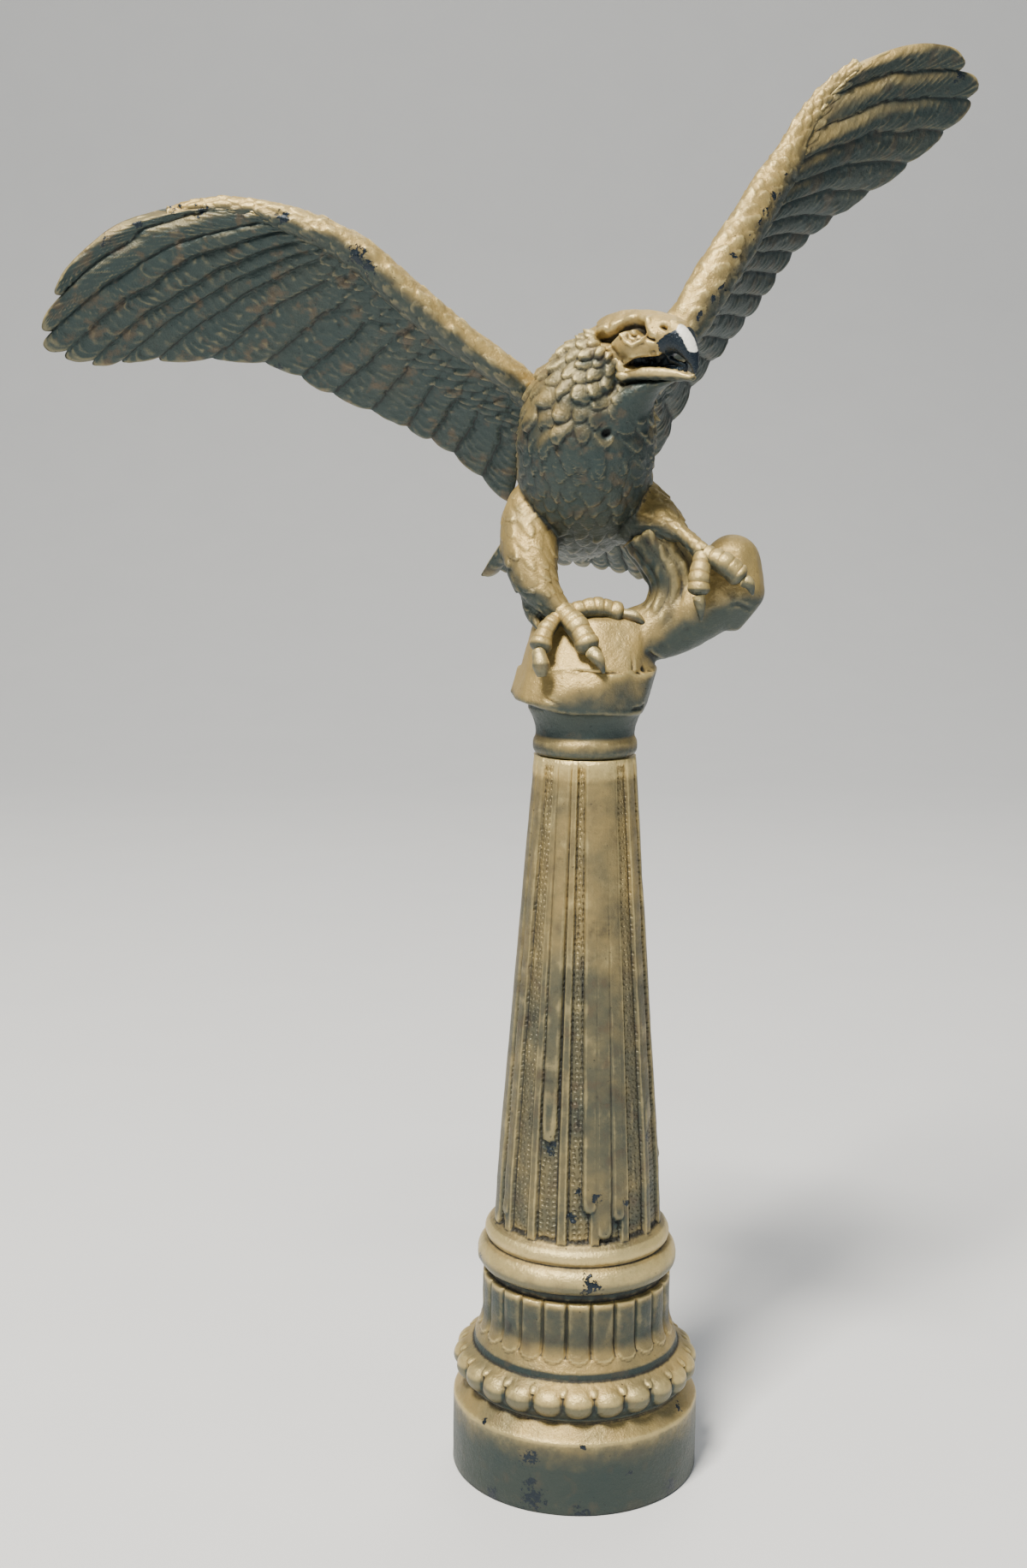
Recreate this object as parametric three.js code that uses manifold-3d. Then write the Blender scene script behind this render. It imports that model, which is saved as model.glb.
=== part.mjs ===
// A cast metal finial: an eagle with raised wings stands on a rock, on a fluted column with a beaded base.
// Millimetres, +Z up, origin in the middle of the column's underside. The viewer stands on the -Y side,
// and "right" and "left" are the bird's own.
import * as THREE from "three";
import { mergeVertices } from "three/addons/utils/BufferGeometryUtils.js";
import Module from "manifold-3d";

const wasm = await Module();
wasm.setup();

// Driving dimensions of the column
const BASE_RADIUS = 35; // plain band at the foot
const BAND_HEIGHT = 20;
const BEAD_RING_Z = 30.8;
const BEAD_COUNT = 24;
const BEAD_OUTER_RADIUS = 34.6;
const DRUM_RADIUS = 26.3; // reeded drum
const DRUM_BOTTOM = 39;
const DRUM_TOP = 57;
const REED_COUNT = 24;
const REED_GROOVE = 1.1;
const SHAFT_BOTTOM = 73;
const SHAFT_TOP = 205; // the rock's neck stands here
const FLUTE_COUNT = 16;
const FLUTE_DEPTH = 0.9;
const FILLET_ANGLE = THREE.MathUtils.degToRad(6); // plain strip between two flutes
const FIRST_FILLET = THREE.MathUtils.degToRad(-125); // where the first strip stands, from +X
const SHAFT_TAPER = [
  [SHAFT_BOTTOM, 23.6],
  [87.6, 23],
  [199, 14.5],
];

// Driving dimensions of the figure
const SEAM = 0.3; // gap left where two castings are soldered together
const FEATHER_RISE = 0.35; // height of the body's feather scales
const SPAN_FEATHERS = 16; // flight feathers on each wing
const ROOT_PLACE = [1, 0.72, 0.57, 0.36, 0.03]; // where their roots stand on the arm, wrist to shoulder
const TAIL_FEATHERS = 9;
const DOWN = new THREE.Vector3(0, 0, -1);
const UP = new THREE.Vector3(0, 0, 1);

const vec = (p) => new THREE.Vector3(...p);
const mix = THREE.MathUtils.lerp;

// A closed solid from a geometry, its shared corners merged.
function solidOf(geometry) {
  const g = geometry.clone();
  g.deleteAttribute("normal");
  g.deleteAttribute("uv");
  const merged = mergeVertices(g, 1e-4);
  return new wasm.Manifold(
    new wasm.Mesh({
      numProp: 3,
      vertProperties: new Float32Array(merged.attributes.position.array),
      triVerts: new Uint32Array(merged.index.array),
    }),
  );
}

function geometryOf(solid) {
  const { vertProperties, triVerts } = solid.getMesh();
  const g = new THREE.BufferGeometry();
  g.setAttribute("position", new THREE.BufferAttribute(new Float32Array(vertProperties), 3));
  g.setIndex(new THREE.BufferAttribute(new Uint32Array(triVerts), 1));
  const faceted = g.toNonIndexed();
  faceted.computeVertexNormals();
  return faceted;
}

const join = (solids) => solids.reduce((whole, next) => whole.add(next));

// A closed skin over rings of equal count, each ring turning anticlockwise about the way to the next.
function skin(rings) {
  const sides = rings[0].length;
  const points = rings.flat();
  const faces = [];
  for (let i = 0; i + 1 < rings.length; i++)
    for (let j = 0; j < sides; j++) {
      const a = i * sides + j;
      const b = i * sides + ((j + 1) % sides);
      faces.push(a, b, b + sides, a, b + sides, a + sides);
    }
  const middle = (ring) => ring.reduce((s, p) => s.add(p), new THREE.Vector3()).divideScalar(sides);
  const foot = points.push(middle(rings[0])) - 1;
  const head = points.push(middle(rings.at(-1))) - 1;
  const last = (rings.length - 1) * sides;
  for (let j = 0; j < sides; j++) {
    const k = (j + 1) % sides;
    faces.push(foot, k, j, head, last + j, last + k);
  }
  const g = new THREE.BufferGeometry().setFromPoints(points);
  g.setIndex(faces);
  return solidOf(g);
}

const curveThrough = (points) => new THREE.CatmullRomCurve3(points.map(vec), false, "catmullrom", 0.5);

// A value read from a list at t from 0 to 1, straight between its entries.
function along(list, t) {
  const place = t * (list.length - 1);
  const i = Math.min(Math.floor(place), list.length - 2);
  return mix(list[i], list[i + 1], place - i);
}

// A limb: an oval section carried along a curve. wide is the half width across hint, deep the half depth.
// With bumps, every second ring is turned by half a step so that they stand like scales.
function limb(points, wide, deep, { hint = UP, sides = 8, steps = 6, bump = null } = {}) {
  const path = curveThrough(points);
  const rings = [];
  for (let i = 0; i <= steps; i++) {
    const t = i / steps;
    const centre = path.getPoint(t);
    const ahead = path.getTangent(t);
    const side = new THREE.Vector3().crossVectors(hint, ahead).normalize();
    const rise = new THREE.Vector3().crossVectors(ahead, side);
    const ring = [];
    for (let j = 0; j < sides; j++) {
      const turn = (2 * Math.PI * (j + (bump ? 0.5 * (i % 2) : 0))) / sides;
      const grow = bump ? bump(i, j) : 0;
      ring.push(
        centre
          .clone()
          .addScaledVector(side, (along(wide, t) + grow) * Math.cos(turn))
          .addScaledVector(rise, (along(deep, t) + grow) * Math.sin(turn)),
      );
    }
    rings.push(ring);
  }
  return skin(rings);
}

function ball(centre, radii, turned = new THREE.Matrix4(), detail = 8) {
  const g = new THREE.SphereGeometry(1, detail, Math.max(4, detail - 2));
  g.scale(...radii);
  g.applyMatrix4(turned);
  g.translate(...centre);
  return solidOf(g);
}

// The plain, turned part of the column below the shaft, up to the small ring that the shaft stands in.
function turnedBase() {
  const profile = new THREE.Path();
  profile.moveTo(0, 0);
  profile.lineTo(BASE_RADIUS, 0);
  profile.lineTo(BASE_RADIUS, BAND_HEIGHT);
  profile.quadraticCurveTo(BASE_RADIUS - 0.3, BAND_HEIGHT + 3.2, BASE_RADIUS - 3.6, BAND_HEIGHT + 4.8);
  profile.lineTo(31, 26);
  profile.lineTo(31.2, 34.8);
  profile.lineTo(29.2, 36);
  profile.lineTo(28.7, DRUM_BOTTOM - 1);
  profile.lineTo(25.2, DRUM_BOTTOM + 1);
  profile.lineTo(24.9, DRUM_TOP + 1);
  profile.lineTo(25.4, 59.8);
  profile.quadraticCurveTo(28.4, 59.9, 28.2, 63);
  profile.quadraticCurveTo(27.8, 66.2, 25.2, 67.4);
  profile.quadraticCurveTo(27.4, 69.8, 24.6, 72);
  profile.lineTo(22.6, SHAFT_BOTTOM);
  profile.lineTo(0, SHAFT_BOTTOM);
  return solidOf(new THREE.LatheGeometry(profile.getPoints(2), 40).rotateX(Math.PI / 2));
}

// A ring of points at height z whose radius is shape(angle).
function wavyRing(angles, z, shape) {
  return angles.map((a, k) => new THREE.Vector3(shape(k) * Math.cos(a), shape(k) * Math.sin(a), z));
}

// Upright ridges round the column, rounded between their grooves: rings of [z, radius, groove depth].
function ridged(count, pointsEach, levels) {
  const total = count * pointsEach;
  const turn = (2 * Math.PI) / total;
  const angles = Array.from({ length: total }, (_, k) => (k - pointsEach / 2) * turn - Math.PI / 2);
  const sink = (k) => 1 - Math.sin((Math.PI * (k % pointsEach)) / pointsEach);
  return skin(levels.map(([z, r, depth]) => wavyRing(angles, z, (k) => r - depth * sink(k))));
}

// The drum's broad flat reeds, flaring out at the foot.
const reededDrum = () =>
  ridged(REED_COUNT, 3, [
    [DRUM_BOTTOM - 0.6, 28.3, 0],
    [DRUM_BOTTOM + 1.8, 27.4, 0.8],
    [DRUM_BOTTOM + 4.6, DRUM_RADIUS, REED_GROOVE],
    [DRUM_TOP, DRUM_RADIUS, REED_GROOVE],
  ]);

// The ring of beads, each pressed against the next.
const beadRing = () =>
  ridged(BEAD_COUNT, 4, [
    [BEAD_RING_Z - 5, 30, 0],
    [BEAD_RING_Z - 3.6, BEAD_OUTER_RADIUS - 1.4, 1.6],
    [BEAD_RING_Z, BEAD_OUTER_RADIUS, 2],
    [BEAD_RING_Z + 3, BEAD_OUTER_RADIUS - 1.6, 1.5],
    [BEAD_RING_Z + 4.6, 30.2, 0],
  ]);

// The tapering shaft with sunk flutes between narrow plain strips.
function flutedShaft() {
  const pitch = (2 * Math.PI) / FLUTE_COUNT;
  const shoulder = THREE.MathUtils.degToRad(1.6);
  const angles = [];
  for (let k = 0; k < FLUTE_COUNT; k++) {
    const middle = FIRST_FILLET + k * pitch;
    angles.push(middle - FILLET_ANGLE / 2, middle + FILLET_ANGLE / 2);
    angles.push(middle + FILLET_ANGLE / 2 + shoulder, middle + pitch - FILLET_ANGLE / 2 - shoulder);
  }
  const ring = (z, r, depth) => wavyRing(angles, z, (k) => (k % 4 < 2 ? r : r - depth));
  const topRadius = SHAFT_TAPER.at(-1)[1];
  const rings = [ring(SHAFT_BOTTOM - 1, SHAFT_TAPER[0][1], 0)];
  SHAFT_TAPER.forEach(([z, r]) => rings.push(ring(z + 0.4, r, FLUTE_DEPTH)));
  rings.push(ring(SHAFT_TOP - 3.6, topRadius - 0.1, 0), ring(SHAFT_TOP, topRadius - 0.5, 0));
  return skin(rings);
}

const column = join([turnedBase(), reededDrum(), flutedShaft(), beadRing()]);

// The bird's body and neck, from rump to nape: middle points, then half widths and half depths.
const BODY_LINE = [
  [-4, 36, 259.5],
  [-3, 27, 265.5],
  [-2, 15, 273],
  [-1.2, 3, 281.5],
  [-1, -5.5, 290],
  [0.4, -10, 299],
  [3.4, -13, 306.5],
  [7, -16, 312],
];
const BODY_WIDE = [7, 12.5, 16.4, 18.2, 18.3, 16.8, 13.4, 9.6];
const BODY_DEEP = [4.5, 9.8, 15.8, 18.8, 18, 14.8, 10.8, 7];
const BODY_STEPS = 13;
const BODY_HINT = new THREE.Vector3(0, 0.8, 0.6); // keeps the sections from twisting

function torso(extra = 0, featherRise = FEATHER_RISE) {
  const grow = (list) => list.map((r) => r + extra);
  const scale = (i, j) => ((i + j) % 2 ? featherRise : -featherRise);
  return limb(BODY_LINE, grow(BODY_WIDE), grow(BODY_DEEP), {
    hint: BODY_HINT,
    sides: 18,
    steps: BODY_STEPS,
    bump: scale,
  });
}

// The head is laid out in its own axes: forward along the beak, out to the bird's right, and up.
const HEAD_CENTRE = [10.2, -18.4, 313.6];
const HEAD_TURN = THREE.MathUtils.degToRad(-43.5); // beak direction from +X
const headFrame = new THREE.Matrix4()
  .makeRotationZ(HEAD_TURN)
  .setPosition(...HEAD_CENTRE);
const onHead = ([forward, right, up]) => {
  return new THREE.Vector3(forward, -right, up).applyMatrix4(headFrame).toArray();
};

function head() {
  const skull = limb(
    [[-11.5, 0, -2.6], [-5, 0, 0.4], [2.5, 0, 1.2], [9, 0, 1.4], [13.5, 0, 0]].map(onHead),
    [4.6, 7, 7.2, 5.8, 3.8],
    [5, 7.8, 7.9, 6.9, 4.6],
    { sides: 12, steps: 7 },
  );
  const upperBeak = limb(
    [[9, 0, 0.8], [13.6, 0, 0.6], [17.6, 0, -1.8], [19.2, 0, -5.6], [19.3, 0, -8.7]].map(onHead),
    [4.7, 4.2, 3.4, 1.8, 0.4],
    [5.2, 5.2, 4, 2, 0.5],
    { sides: 8, steps: 8 },
  );
  const lowerBeak = limb(
    [[-1, 0, -8], [8, 0, -8.6], [16.2, 0, -8.6]].map(onHead),
    [5.4, 4.2, 1.5],
    [2.2, 1.7, 0.8],
    { sides: 8, steps: 3 },
  );
  const gape = limb(
    [[2.6, 0, -5.6], [9, 0, -6], [16.4, 0, -6.8]].map(onHead),
    [9, 7, 4],
    [0.4, 1, 0.9],
    { sides: 8, steps: 3 },
  );
  const throat = limb(
    [[13.5, 0, -9.6], [7, 0, -10.6], [1, 0, -13.6], [-4, 0, -19]].map(onHead),
    [1.6, 4, 7, 9],
    [0.6, 2, 4.6, 6.5],
    { sides: 8, steps: 5 },
  );
  const parts = [skull, upperBeak];
  for (const side of [-1, 1]) {
    const brow = [[-4.4, 5, 5], [2, 5.4, 5], [8.6, 3.9, 4]].map(([f, r, u]) => onHead([f, r * side, u]));
    parts.push(limb(brow, [1.3, 1.7, 1.1], [1, 1.5, 0.9], { sides: 6, steps: 3 }));
    parts.push(ball(onHead([4.6, 5.2 * side, 1.6]), [2, 2, 2], new THREE.Matrix4(), 6));
  }
  return join(parts).subtract(gape).add(lowerBeak).add(throat);
}

// A toe along its joints, ending in a curved claw.
function toe(joints, thick, clawTip) {
  const end = joints.at(-1);
  const bend = vec(end).lerp(vec(clawTip), 0.45).add(new THREE.Vector3(0, -0.6, 1.1)).toArray();
  const radii = [thick, thick * 0.92, thick * 0.82];
  const claw = [thick * 0.74, thick * 0.55, thick * 0.12];
  return limb(joints, radii, radii, { sides: 6, steps: 4 }).add(
    limb([end, bend, clawTip], claw, claw, { sides: 5, steps: 3 }),
  );
}

const RIGHT_FOOT = [-6.6, -7.6, 243.4];
const LEFT_FOOT = [30, -11.4, 260.2];

function rightLeg() {
  const thighLine = [[-10, 9, 274], [-15.2, 4, 266], [-15.4, -1.8, 257.5], [-12.6, -5.6, 250], RIGHT_FOOT];
  const thigh = limb(thighLine, [9, 8.6, 7.3, 5.8, 3], [10, 9.6, 7.8, 5.6, 3], { sides: 10, steps: 8 });
  const tuft = limb([[-15, -2, 251], [-14.6, -4, 244], [-12.4, -7, 238.4]], [3.4, 2.6, 0.5], [3.4, 2.4, 0.5],
    { sides: 6, steps: 3 });
  return join([
    thigh,
    tuft,
    toe([RIGHT_FOOT, [-2, -12.6, 240.6], [1.6, -16.6, 235]], 2.7, [4, -19.4, 229]),
    toe([RIGHT_FOOT, [2.5, -5.2, 245.4], [10.2, -4, 243.4]], 2.4, [15.6, -5.4, 240.4]),
    toe([RIGHT_FOOT, [-11, -12.6, 240], [-13.4, -16.6, 233.6], [-13.6, -18, 229.4]], 2.7, [-8.6, -19.6, 227.8]),
  ]);
}

function leftLeg() {
  const thigh = limb([[8, 9, 272.4], [14.6, 4.6, 270], [19.6, -1.6, 268], [23.6, -6.4, 266]], [10, 8.6, 6, 3],
    [10, 9, 5.6, 2.8], { sides: 10, steps: 6 });
  const shank = limb([[20, -4.4, 268], [25.4, -8.6, 264.6], LEFT_FOOT], [2.6, 2.1, 2.4], [2.6, 2.1, 2.4]);
  return join([
    thigh,
    shank,
    toe([LEFT_FOOT, [35.4, -13.4, 257.8], [40, -13.6, 254]], 2.5, [43, -13.4, 250.2]),
    toe([LEFT_FOOT, [28.8, -14.2, 254.4], [28.6, -15, 248.8]], 2.4, [29.4, -14.6, 242.8]),
  ]);
}

// A thin sheet of feathers side by side. place(t) gives each column's root, tip and sideways bow.
function featherSheet(count, place, { thick, notch, rows, step = -1 }) {
  const rings = [];
  for (let k = 0; k <= 3 * count; k++) {
    const t = k / (3 * count);
    const gap = k % 3 === 0;
    const { root, tip, bow, ahead } = place(t);
    const chord = tip.clone().sub(root);
    const normal = new THREE.Vector3().crossVectors(chord, ahead).normalize();
    const end = gap ? tip.clone().addScaledVector(chord, -along(notch, t) / chord.length()) : tip;
    const line = new THREE.QuadraticBezierCurve3(root, root.clone().lerp(tip, 0.5).add(bow), end);
    const front = [];
    const back = [];
    rows.forEach((c, i) => {
      const middle = line.getPoint(gap && i === step ? c - 0.03 : c);
      const half = along(thick, c) * (gap && i > 0 ? 0.5 : 1) * (i <= step ? 1.7 : 1);
      front.push(middle.clone().addScaledVector(normal, half));
      back.unshift(middle.clone().addScaledVector(normal, -half));
    });
    rings.push([...front, ...back]);
  }
  return skin(rings);
}

// The tail: one fan of feathers from the rump, with the outer ones starting higher and falling steeper.
function tail() {
  const place = (t) => {
    const s = mix(-1, 1, t);
    return {
      root: new THREE.Vector3(-3 + 13.5 * s, 24 + 3 * s * s, 267 + 2.5 * s * s),
      tip: new THREE.Vector3(-5.5 + 25 * s, 54 - 7 * s * s, 254 - 4.4 * s * s),
      bow: new THREE.Vector3(0, 0, 1 + s * s),
      ahead: new THREE.Vector3(1, -0.5 * s, -0.35 * s),
    };
  };
  return featherSheet(TAIL_FEATHERS, place, { thick: [2.4, 1.1], notch: [2, 2], rows: [0, 0.5, 0.9, 1] });
}

// The rock's broken block, bottom to top: height, then its reach to the viewer's left, right, front and back.
const ROCK_LEVELS = [
  [216.4, 13, 12.6, 12, 12],
  [218.6, 17, 15.6, 17, 15],
  [221.8, 19.6, 16.6, 17.8, 16],
  [229, 17.6, 18, 17, 13.6],
  [236.6, 15.6, 17, 12.4, 12],
  [243.4, 7, 10.6, 4.6, 9],
];
const ROCK_SIDES = 11;
const KNOB_CENTRE = [38.6, -2.4, 252.2];
const KNOB_RADII = [9.2, 9.2, 13];

// The rock: a ringed, flared neck on the column, a block with broken faces, and a spur that the left foot grips.
function rock() {
  const neck = new THREE.Path();
  neck.moveTo(0, SHAFT_TOP + SEAM);
  neck.lineTo(13.8, SHAFT_TOP + SEAM);
  neck.lineTo(14.3, 206.6);
  neck.lineTo(14.3, 209.4);
  neck.lineTo(13.4, 210.6);
  neck.quadraticCurveTo(13.8, 216, 17.4, 219.4);
  neck.lineTo(0, 224);
  const flare = solidOf(new THREE.LatheGeometry(neck.getPoints(4), 28).rotateX(Math.PI / 2));
  const rings = ROCK_LEVELS.map(([z, left, right, front, back], i) => {
    const ring = [];
    for (let j = 0; j < ROCK_SIDES; j++) {
      const turn = (2 * Math.PI * (j + 0.5 * (i % 2))) / ROCK_SIDES;
      const x = Math.cos(turn);
      const y = Math.sin(turn);
      const tilt = 0.8 * Math.sin(5 * j);
      ring.push(new THREE.Vector3(x * (x < 0 ? left : right), y * (y < 0 ? front : back), z + tilt));
    }
    return ring;
  });
  const spur = limb([[8, 1, 236], [22, 0, 240.4], [32, -2, 246.4], [38, -2.4, 251]], [7, 7.4, 8.4, 8],
    [7.4, 8.8, 8.6, 8], { hint: UP, sides: 9, steps: 5, bump: (i, j) => 0.5 * Math.sin(4 * i + 3 * j) });
  const stump = limb([[15, 1, 236], [21.6, 0, 245], [23, 0, 254], [16.4, 2, 265.6]], [8, 6.4, 7.6, 8.4],
    [9, 6.8, 6.6, 8], { hint: new THREE.Vector3(0, 1, 0), sides: 10, steps: 5 });
  return join([flare, skin(rings), spur, stump, ball(KNOB_CENTRE, KNOB_RADII, new THREE.Matrix4(), 10)]);
}

const figure = join([torso(), head(), rightLeg(), leftLeg(), tail(), rock()]);

// A wing is a rounded arm along its front edge, with a sheet of flight feathers hanging from it.
const RIGHT_WING = {
  arm: [[-13, 1, 300], [-21, -3, 306.5], [-36.3, -6, 317.1], [-48, -9, 326.3], [-60.4, -11, 336.8],
    [-73, -12, 343.1], [-85.6, -11.5, 346.7], [-98.4, -10.5, 347.9], [-109.7, -9, 346.1]],
  armDepth: [4, 3.7, 3.9, 4.1, 3.8, 3.2, 2.7, 2.2, 1.8],
  tips: [[-136, -11.5, 333], [-145, -5, 314.3], [-135, 2, 307.6], [-117.7, 7, 309], [-89, 12, 308.6],
    [-70.8, 16, 300.8], [-50.4, 19.5, 292], [-37.5, 21.5, 285], [-21, 20, 271]],
  bow: [-1.5, 2, 6],
};
const LEFT_WING = {
  arm: [[14, 2, 306], [25.2, 3, 321.1], [33.4, 7, 334.3], [40.4, 13, 345.4], [47.7, 20, 357.5],
    [53.5, 25, 366.3], [59.6, 31, 377.4], [66, 35, 385.9], [74.2, 38, 393.5]],
  armDepth: [5.4, 5.2, 5.6, 5.6, 5.2, 4.4, 3.4, 2.6, 2],
  tips: [[103, 48, 401.6], [112, 58, 388.6], [94.6, 58, 370.4], [72, 52, 354.4], [59.5, 48, 343.6],
    [50.6, 44, 331], [41, 40, 318.6], [30, 34, 304.6], [19, 26, 284]],
  bow: [-2, 2, 4],
};
const ARM_WIDTH = [5.6, 5.2, 5, 4.8, 4.4, 3.8, 3, 2.4, 2]; // half width, shoulder to wrist

function wing({ arm, armDepth, tips, bow }) {
  const armLine = curveThrough(arm);
  const tipLine = curveThrough(tips);
  const place = (t) => ({
    root: armLine.getPoint(along(ROOT_PLACE, t)),
    tip: tipLine.getPoint(t),
    bow: vec(bow).multiplyScalar(1 - 0.6 * t),
    ahead: tipLine.getTangent(t),
  });
  const sheet = featherSheet(SPAN_FEATHERS, place, {
    thick: [2.2, 1.6, 1.3, 1, 0.5],
    notch: [5, 3.4, 1.6, 1.4, 1.4],
    rows: [0, 0.25, 0.5, 0.53, 0.85, 1],
    step: 2,
  });
  const scaly = (i, j) => ((i + j) % 2 ? 0.25 : -0.15);
  const bar = limb(arm, ARM_WIDTH, armDepth, { hint: DOWN, sides: 8, steps: 13, bump: scaly });
  return bar.add(sheet);
}

// Each wing ends on the body's side, so the body is cut from it with the seam's width to spare.
const bodySide = torso(SEAM + FEATHER_RISE, 0);

const GOLD_PAINT = { color: 0x8f7d4c, roughness: 0.48, metalness: 0.65 };
const finial = new THREE.Group();

function addPiece(name, solid) {
  const mesh = new THREE.Mesh(geometryOf(solid), new THREE.MeshStandardMaterial(GOLD_PAINT));
  mesh.name = name;
  finial.add(mesh);
}

addPiece("column", column);
addPiece("eagle_on_rock", figure);
addPiece("right_wing", wing(RIGHT_WING).subtract(bodySide));
addPiece("left_wing", wing(LEFT_WING).subtract(bodySide));

export default finial;
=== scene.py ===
"""Looks of a cast metal finial: a gilt-painted eagle with raised wings on a rock, on a fluted
column.

Sizes are in millimetres, +Z up, with the origin in the middle of the column's underside and the
viewer on the -Y side. "Right" and "left" are the bird's own. A mesh turns to metres when it is
made.

Each CAD node is shown by one mesh, apart from eagle_on_rock, which is shown by three: the rock, the
bird and, in a finer mesh, its head. They overlap inside the casting.
"""

import logging
from dataclasses import dataclass, field
from enum import Enum

import bpy
import numpy as np
from mathutils import Matrix


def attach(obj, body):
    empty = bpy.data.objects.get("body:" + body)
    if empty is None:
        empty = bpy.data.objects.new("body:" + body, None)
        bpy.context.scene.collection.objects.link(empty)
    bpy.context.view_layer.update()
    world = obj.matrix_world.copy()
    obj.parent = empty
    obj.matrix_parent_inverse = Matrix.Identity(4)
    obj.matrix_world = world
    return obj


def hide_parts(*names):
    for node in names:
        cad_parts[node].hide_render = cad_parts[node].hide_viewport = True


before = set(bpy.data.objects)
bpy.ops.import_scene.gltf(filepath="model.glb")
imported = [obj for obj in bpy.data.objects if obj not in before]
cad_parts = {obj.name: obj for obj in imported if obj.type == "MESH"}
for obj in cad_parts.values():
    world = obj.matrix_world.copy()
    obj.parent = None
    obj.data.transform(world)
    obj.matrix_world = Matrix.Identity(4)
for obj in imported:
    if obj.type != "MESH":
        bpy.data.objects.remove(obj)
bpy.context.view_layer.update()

LOG = logging.getLogger("finial")
MM = 0.001
MARKS = ("ridge", "under", "bare", "tarnish", "pitted", "polish")

Array = np.ndarray
Point = tuple[float, float, float]
Plane = tuple[Point, Point]  # an outward normal and a point
Spot = tuple[Point, float]  # a place and its size
Colour = tuple[float, float, float, float]
Socket = bpy.types.NodeSocket

KEY_PRIMES = (73856093, 19349663, 83492791)
STIR_PRIMES = (1274126177, 668265263)
SEED_STEP, SEED_START = 7919, 12345
SIXTEEN_BITS = 0xFFFF
TONGUE_REACH = 1.6  # a feather tongue's length in row pitches


# ------------------------------------------------------------------------------------------ numbers


def unit(v: Array) -> Array:
    """The vectors of v at length one."""
    return v / np.maximum(np.linalg.norm(v, axis=-1, keepdims=True), 1e-9)


def ease(low: float, high: float, x: Array) -> Array:
    """0 at low and before it, 1 at high and past it, and the S curve 3t^2 - 2t^3 between them."""
    t = np.clip((x - low) / (high - low), 0.0, 1.0)
    return t * t * (3.0 - 2.0 * t)


def spline(knots: list, t: Array) -> Array:
    """A smooth curve through equally spaced knots: a cubic between each two, whose slope at a knot
    is half the step between its neighbours.

    Args:
        knots: numbers or points.
        t: places on the curve, 0 at the first knot and 1 at the last.

    Returns:
        The curve's values at t.
    """
    p = np.asarray(knots, float)
    p = np.concatenate([[2 * p[0] - p[1]], p, [2 * p[-1] - p[-2]]])
    place = np.clip(t, 0.0, 1.0) * (len(p) - 3)
    i = np.minimum(place.astype(int), len(p) - 4)
    u = place - i
    if p.ndim > 1:
        u = u[..., None]
    a, b, c, d = p[i], p[i + 1], p[i + 2], p[i + 3]
    s, e = (c - a) / 2, (d - b) / 2
    return b + u * s + u**2 * (3 * (c - b) - 2 * s - e) + u**3 * (2 * (b - c) + s + e)


def chance(*keys: Array, seed: int = 0) -> Array:
    """A repeatable random number from 0 to 1 for each set of whole-number keys.

    Each key is multiplied by a prime of its own and joined to the rest by exclusive or. The result
    is shifted and multiplied twice, and 16 of its bits make the number.

    Args:
        keys: up to three arrays of whole numbers.
        seed: chooses another set of numbers.

    Returns:
        One number for each place in the arrays.
    """
    h = np.int64(seed * SEED_STEP + SEED_START)
    for key, prime in zip(keys, KEY_PRIMES):
        h = h ^ (np.asarray(key).astype(np.int64) * prime)
    h = (h ^ (h >> 13)) * STIR_PRIMES[0]
    h = (h ^ (h >> 15)) * STIR_PRIMES[1]
    return ((h >> 7) & SIXTEEN_BITS) / SIXTEEN_BITS


def lumps(points: Array, size: float, seed: int = 0) -> Array:
    """Smooth noise from -1 to 1: random values on a cubic lattice with cells of the given size,
    blended across each cell with an S curve.

    Args:
        points: places, (n, 3) or any shape that ends in 3.
        size: the cell's width, the same unit as the points.
        seed: chooses another pattern.

    Returns:
        One value for each point.
    """
    p = points / size
    cell = np.floor(p)
    f = p - cell
    f = f * f * (3 - 2 * f)
    total = np.zeros(p.shape[:-1])
    for corner in np.ndindex(2, 2, 2):
        share = np.prod(np.where(np.array(corner) == 1, f, 1 - f), axis=-1)
        at = cell + corner
        total += share * chance(at[..., 0], at[..., 1], at[..., 2], seed=seed)
    return 2 * total - 1


def tongues(run: Array, across: Array, columns: int, pitch: float, seed: int = 0) -> Array:
    """Height, 0 to 1, of rows of overlapping rounded feathers like roof tiles.

    Each tongue is a ramp that rises to its rounded free end and is domed across. A row's tongues
    stand half a width beside the next row's, and the highest tongue at a place is the one seen.

    Args:
        run: distance along the body towards the free ends, mm.
        across: place round the body, one turn = 1.
        columns: tongues in one row.
        pitch: distance from row to row, mm.
        seed: varies their heights and ends.

    Returns:
        The relief's height for each place.
    """
    best = np.zeros(np.shape(run))
    first = np.floor(run / pitch)
    for back in (0, 1):
        row = first - back
        place = (across % 1.0) * columns + 0.5 * (row % 2)
        column = np.floor(place) % columns
        luck = chance(row, column, seed=seed)
        slant = 0.5 * (chance(column, row, seed=seed + 1) - 0.5)
        x = 2 * (place - np.floor(place)) - 1 + slant
        part = (run / pitch - row) / (TONGUE_REACH * (0.72 + 0.28 * luck))
        outline = np.clip(1 - (np.clip(part - 0.35, 0, 1) / 0.65) ** 2, 0, 1) ** 0.6
        inside = ease(0.0, 0.22, outline - np.abs(x) * 0.96) * (part < 1)
        ramp = 0.05 + (0.35 + 0.6 * luck) * part
        best = np.maximum(best, ramp * (1 - 0.6 * x * x) * inside)
    return best


# ----------------------------------------------------------------------------------------- surfaces


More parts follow.
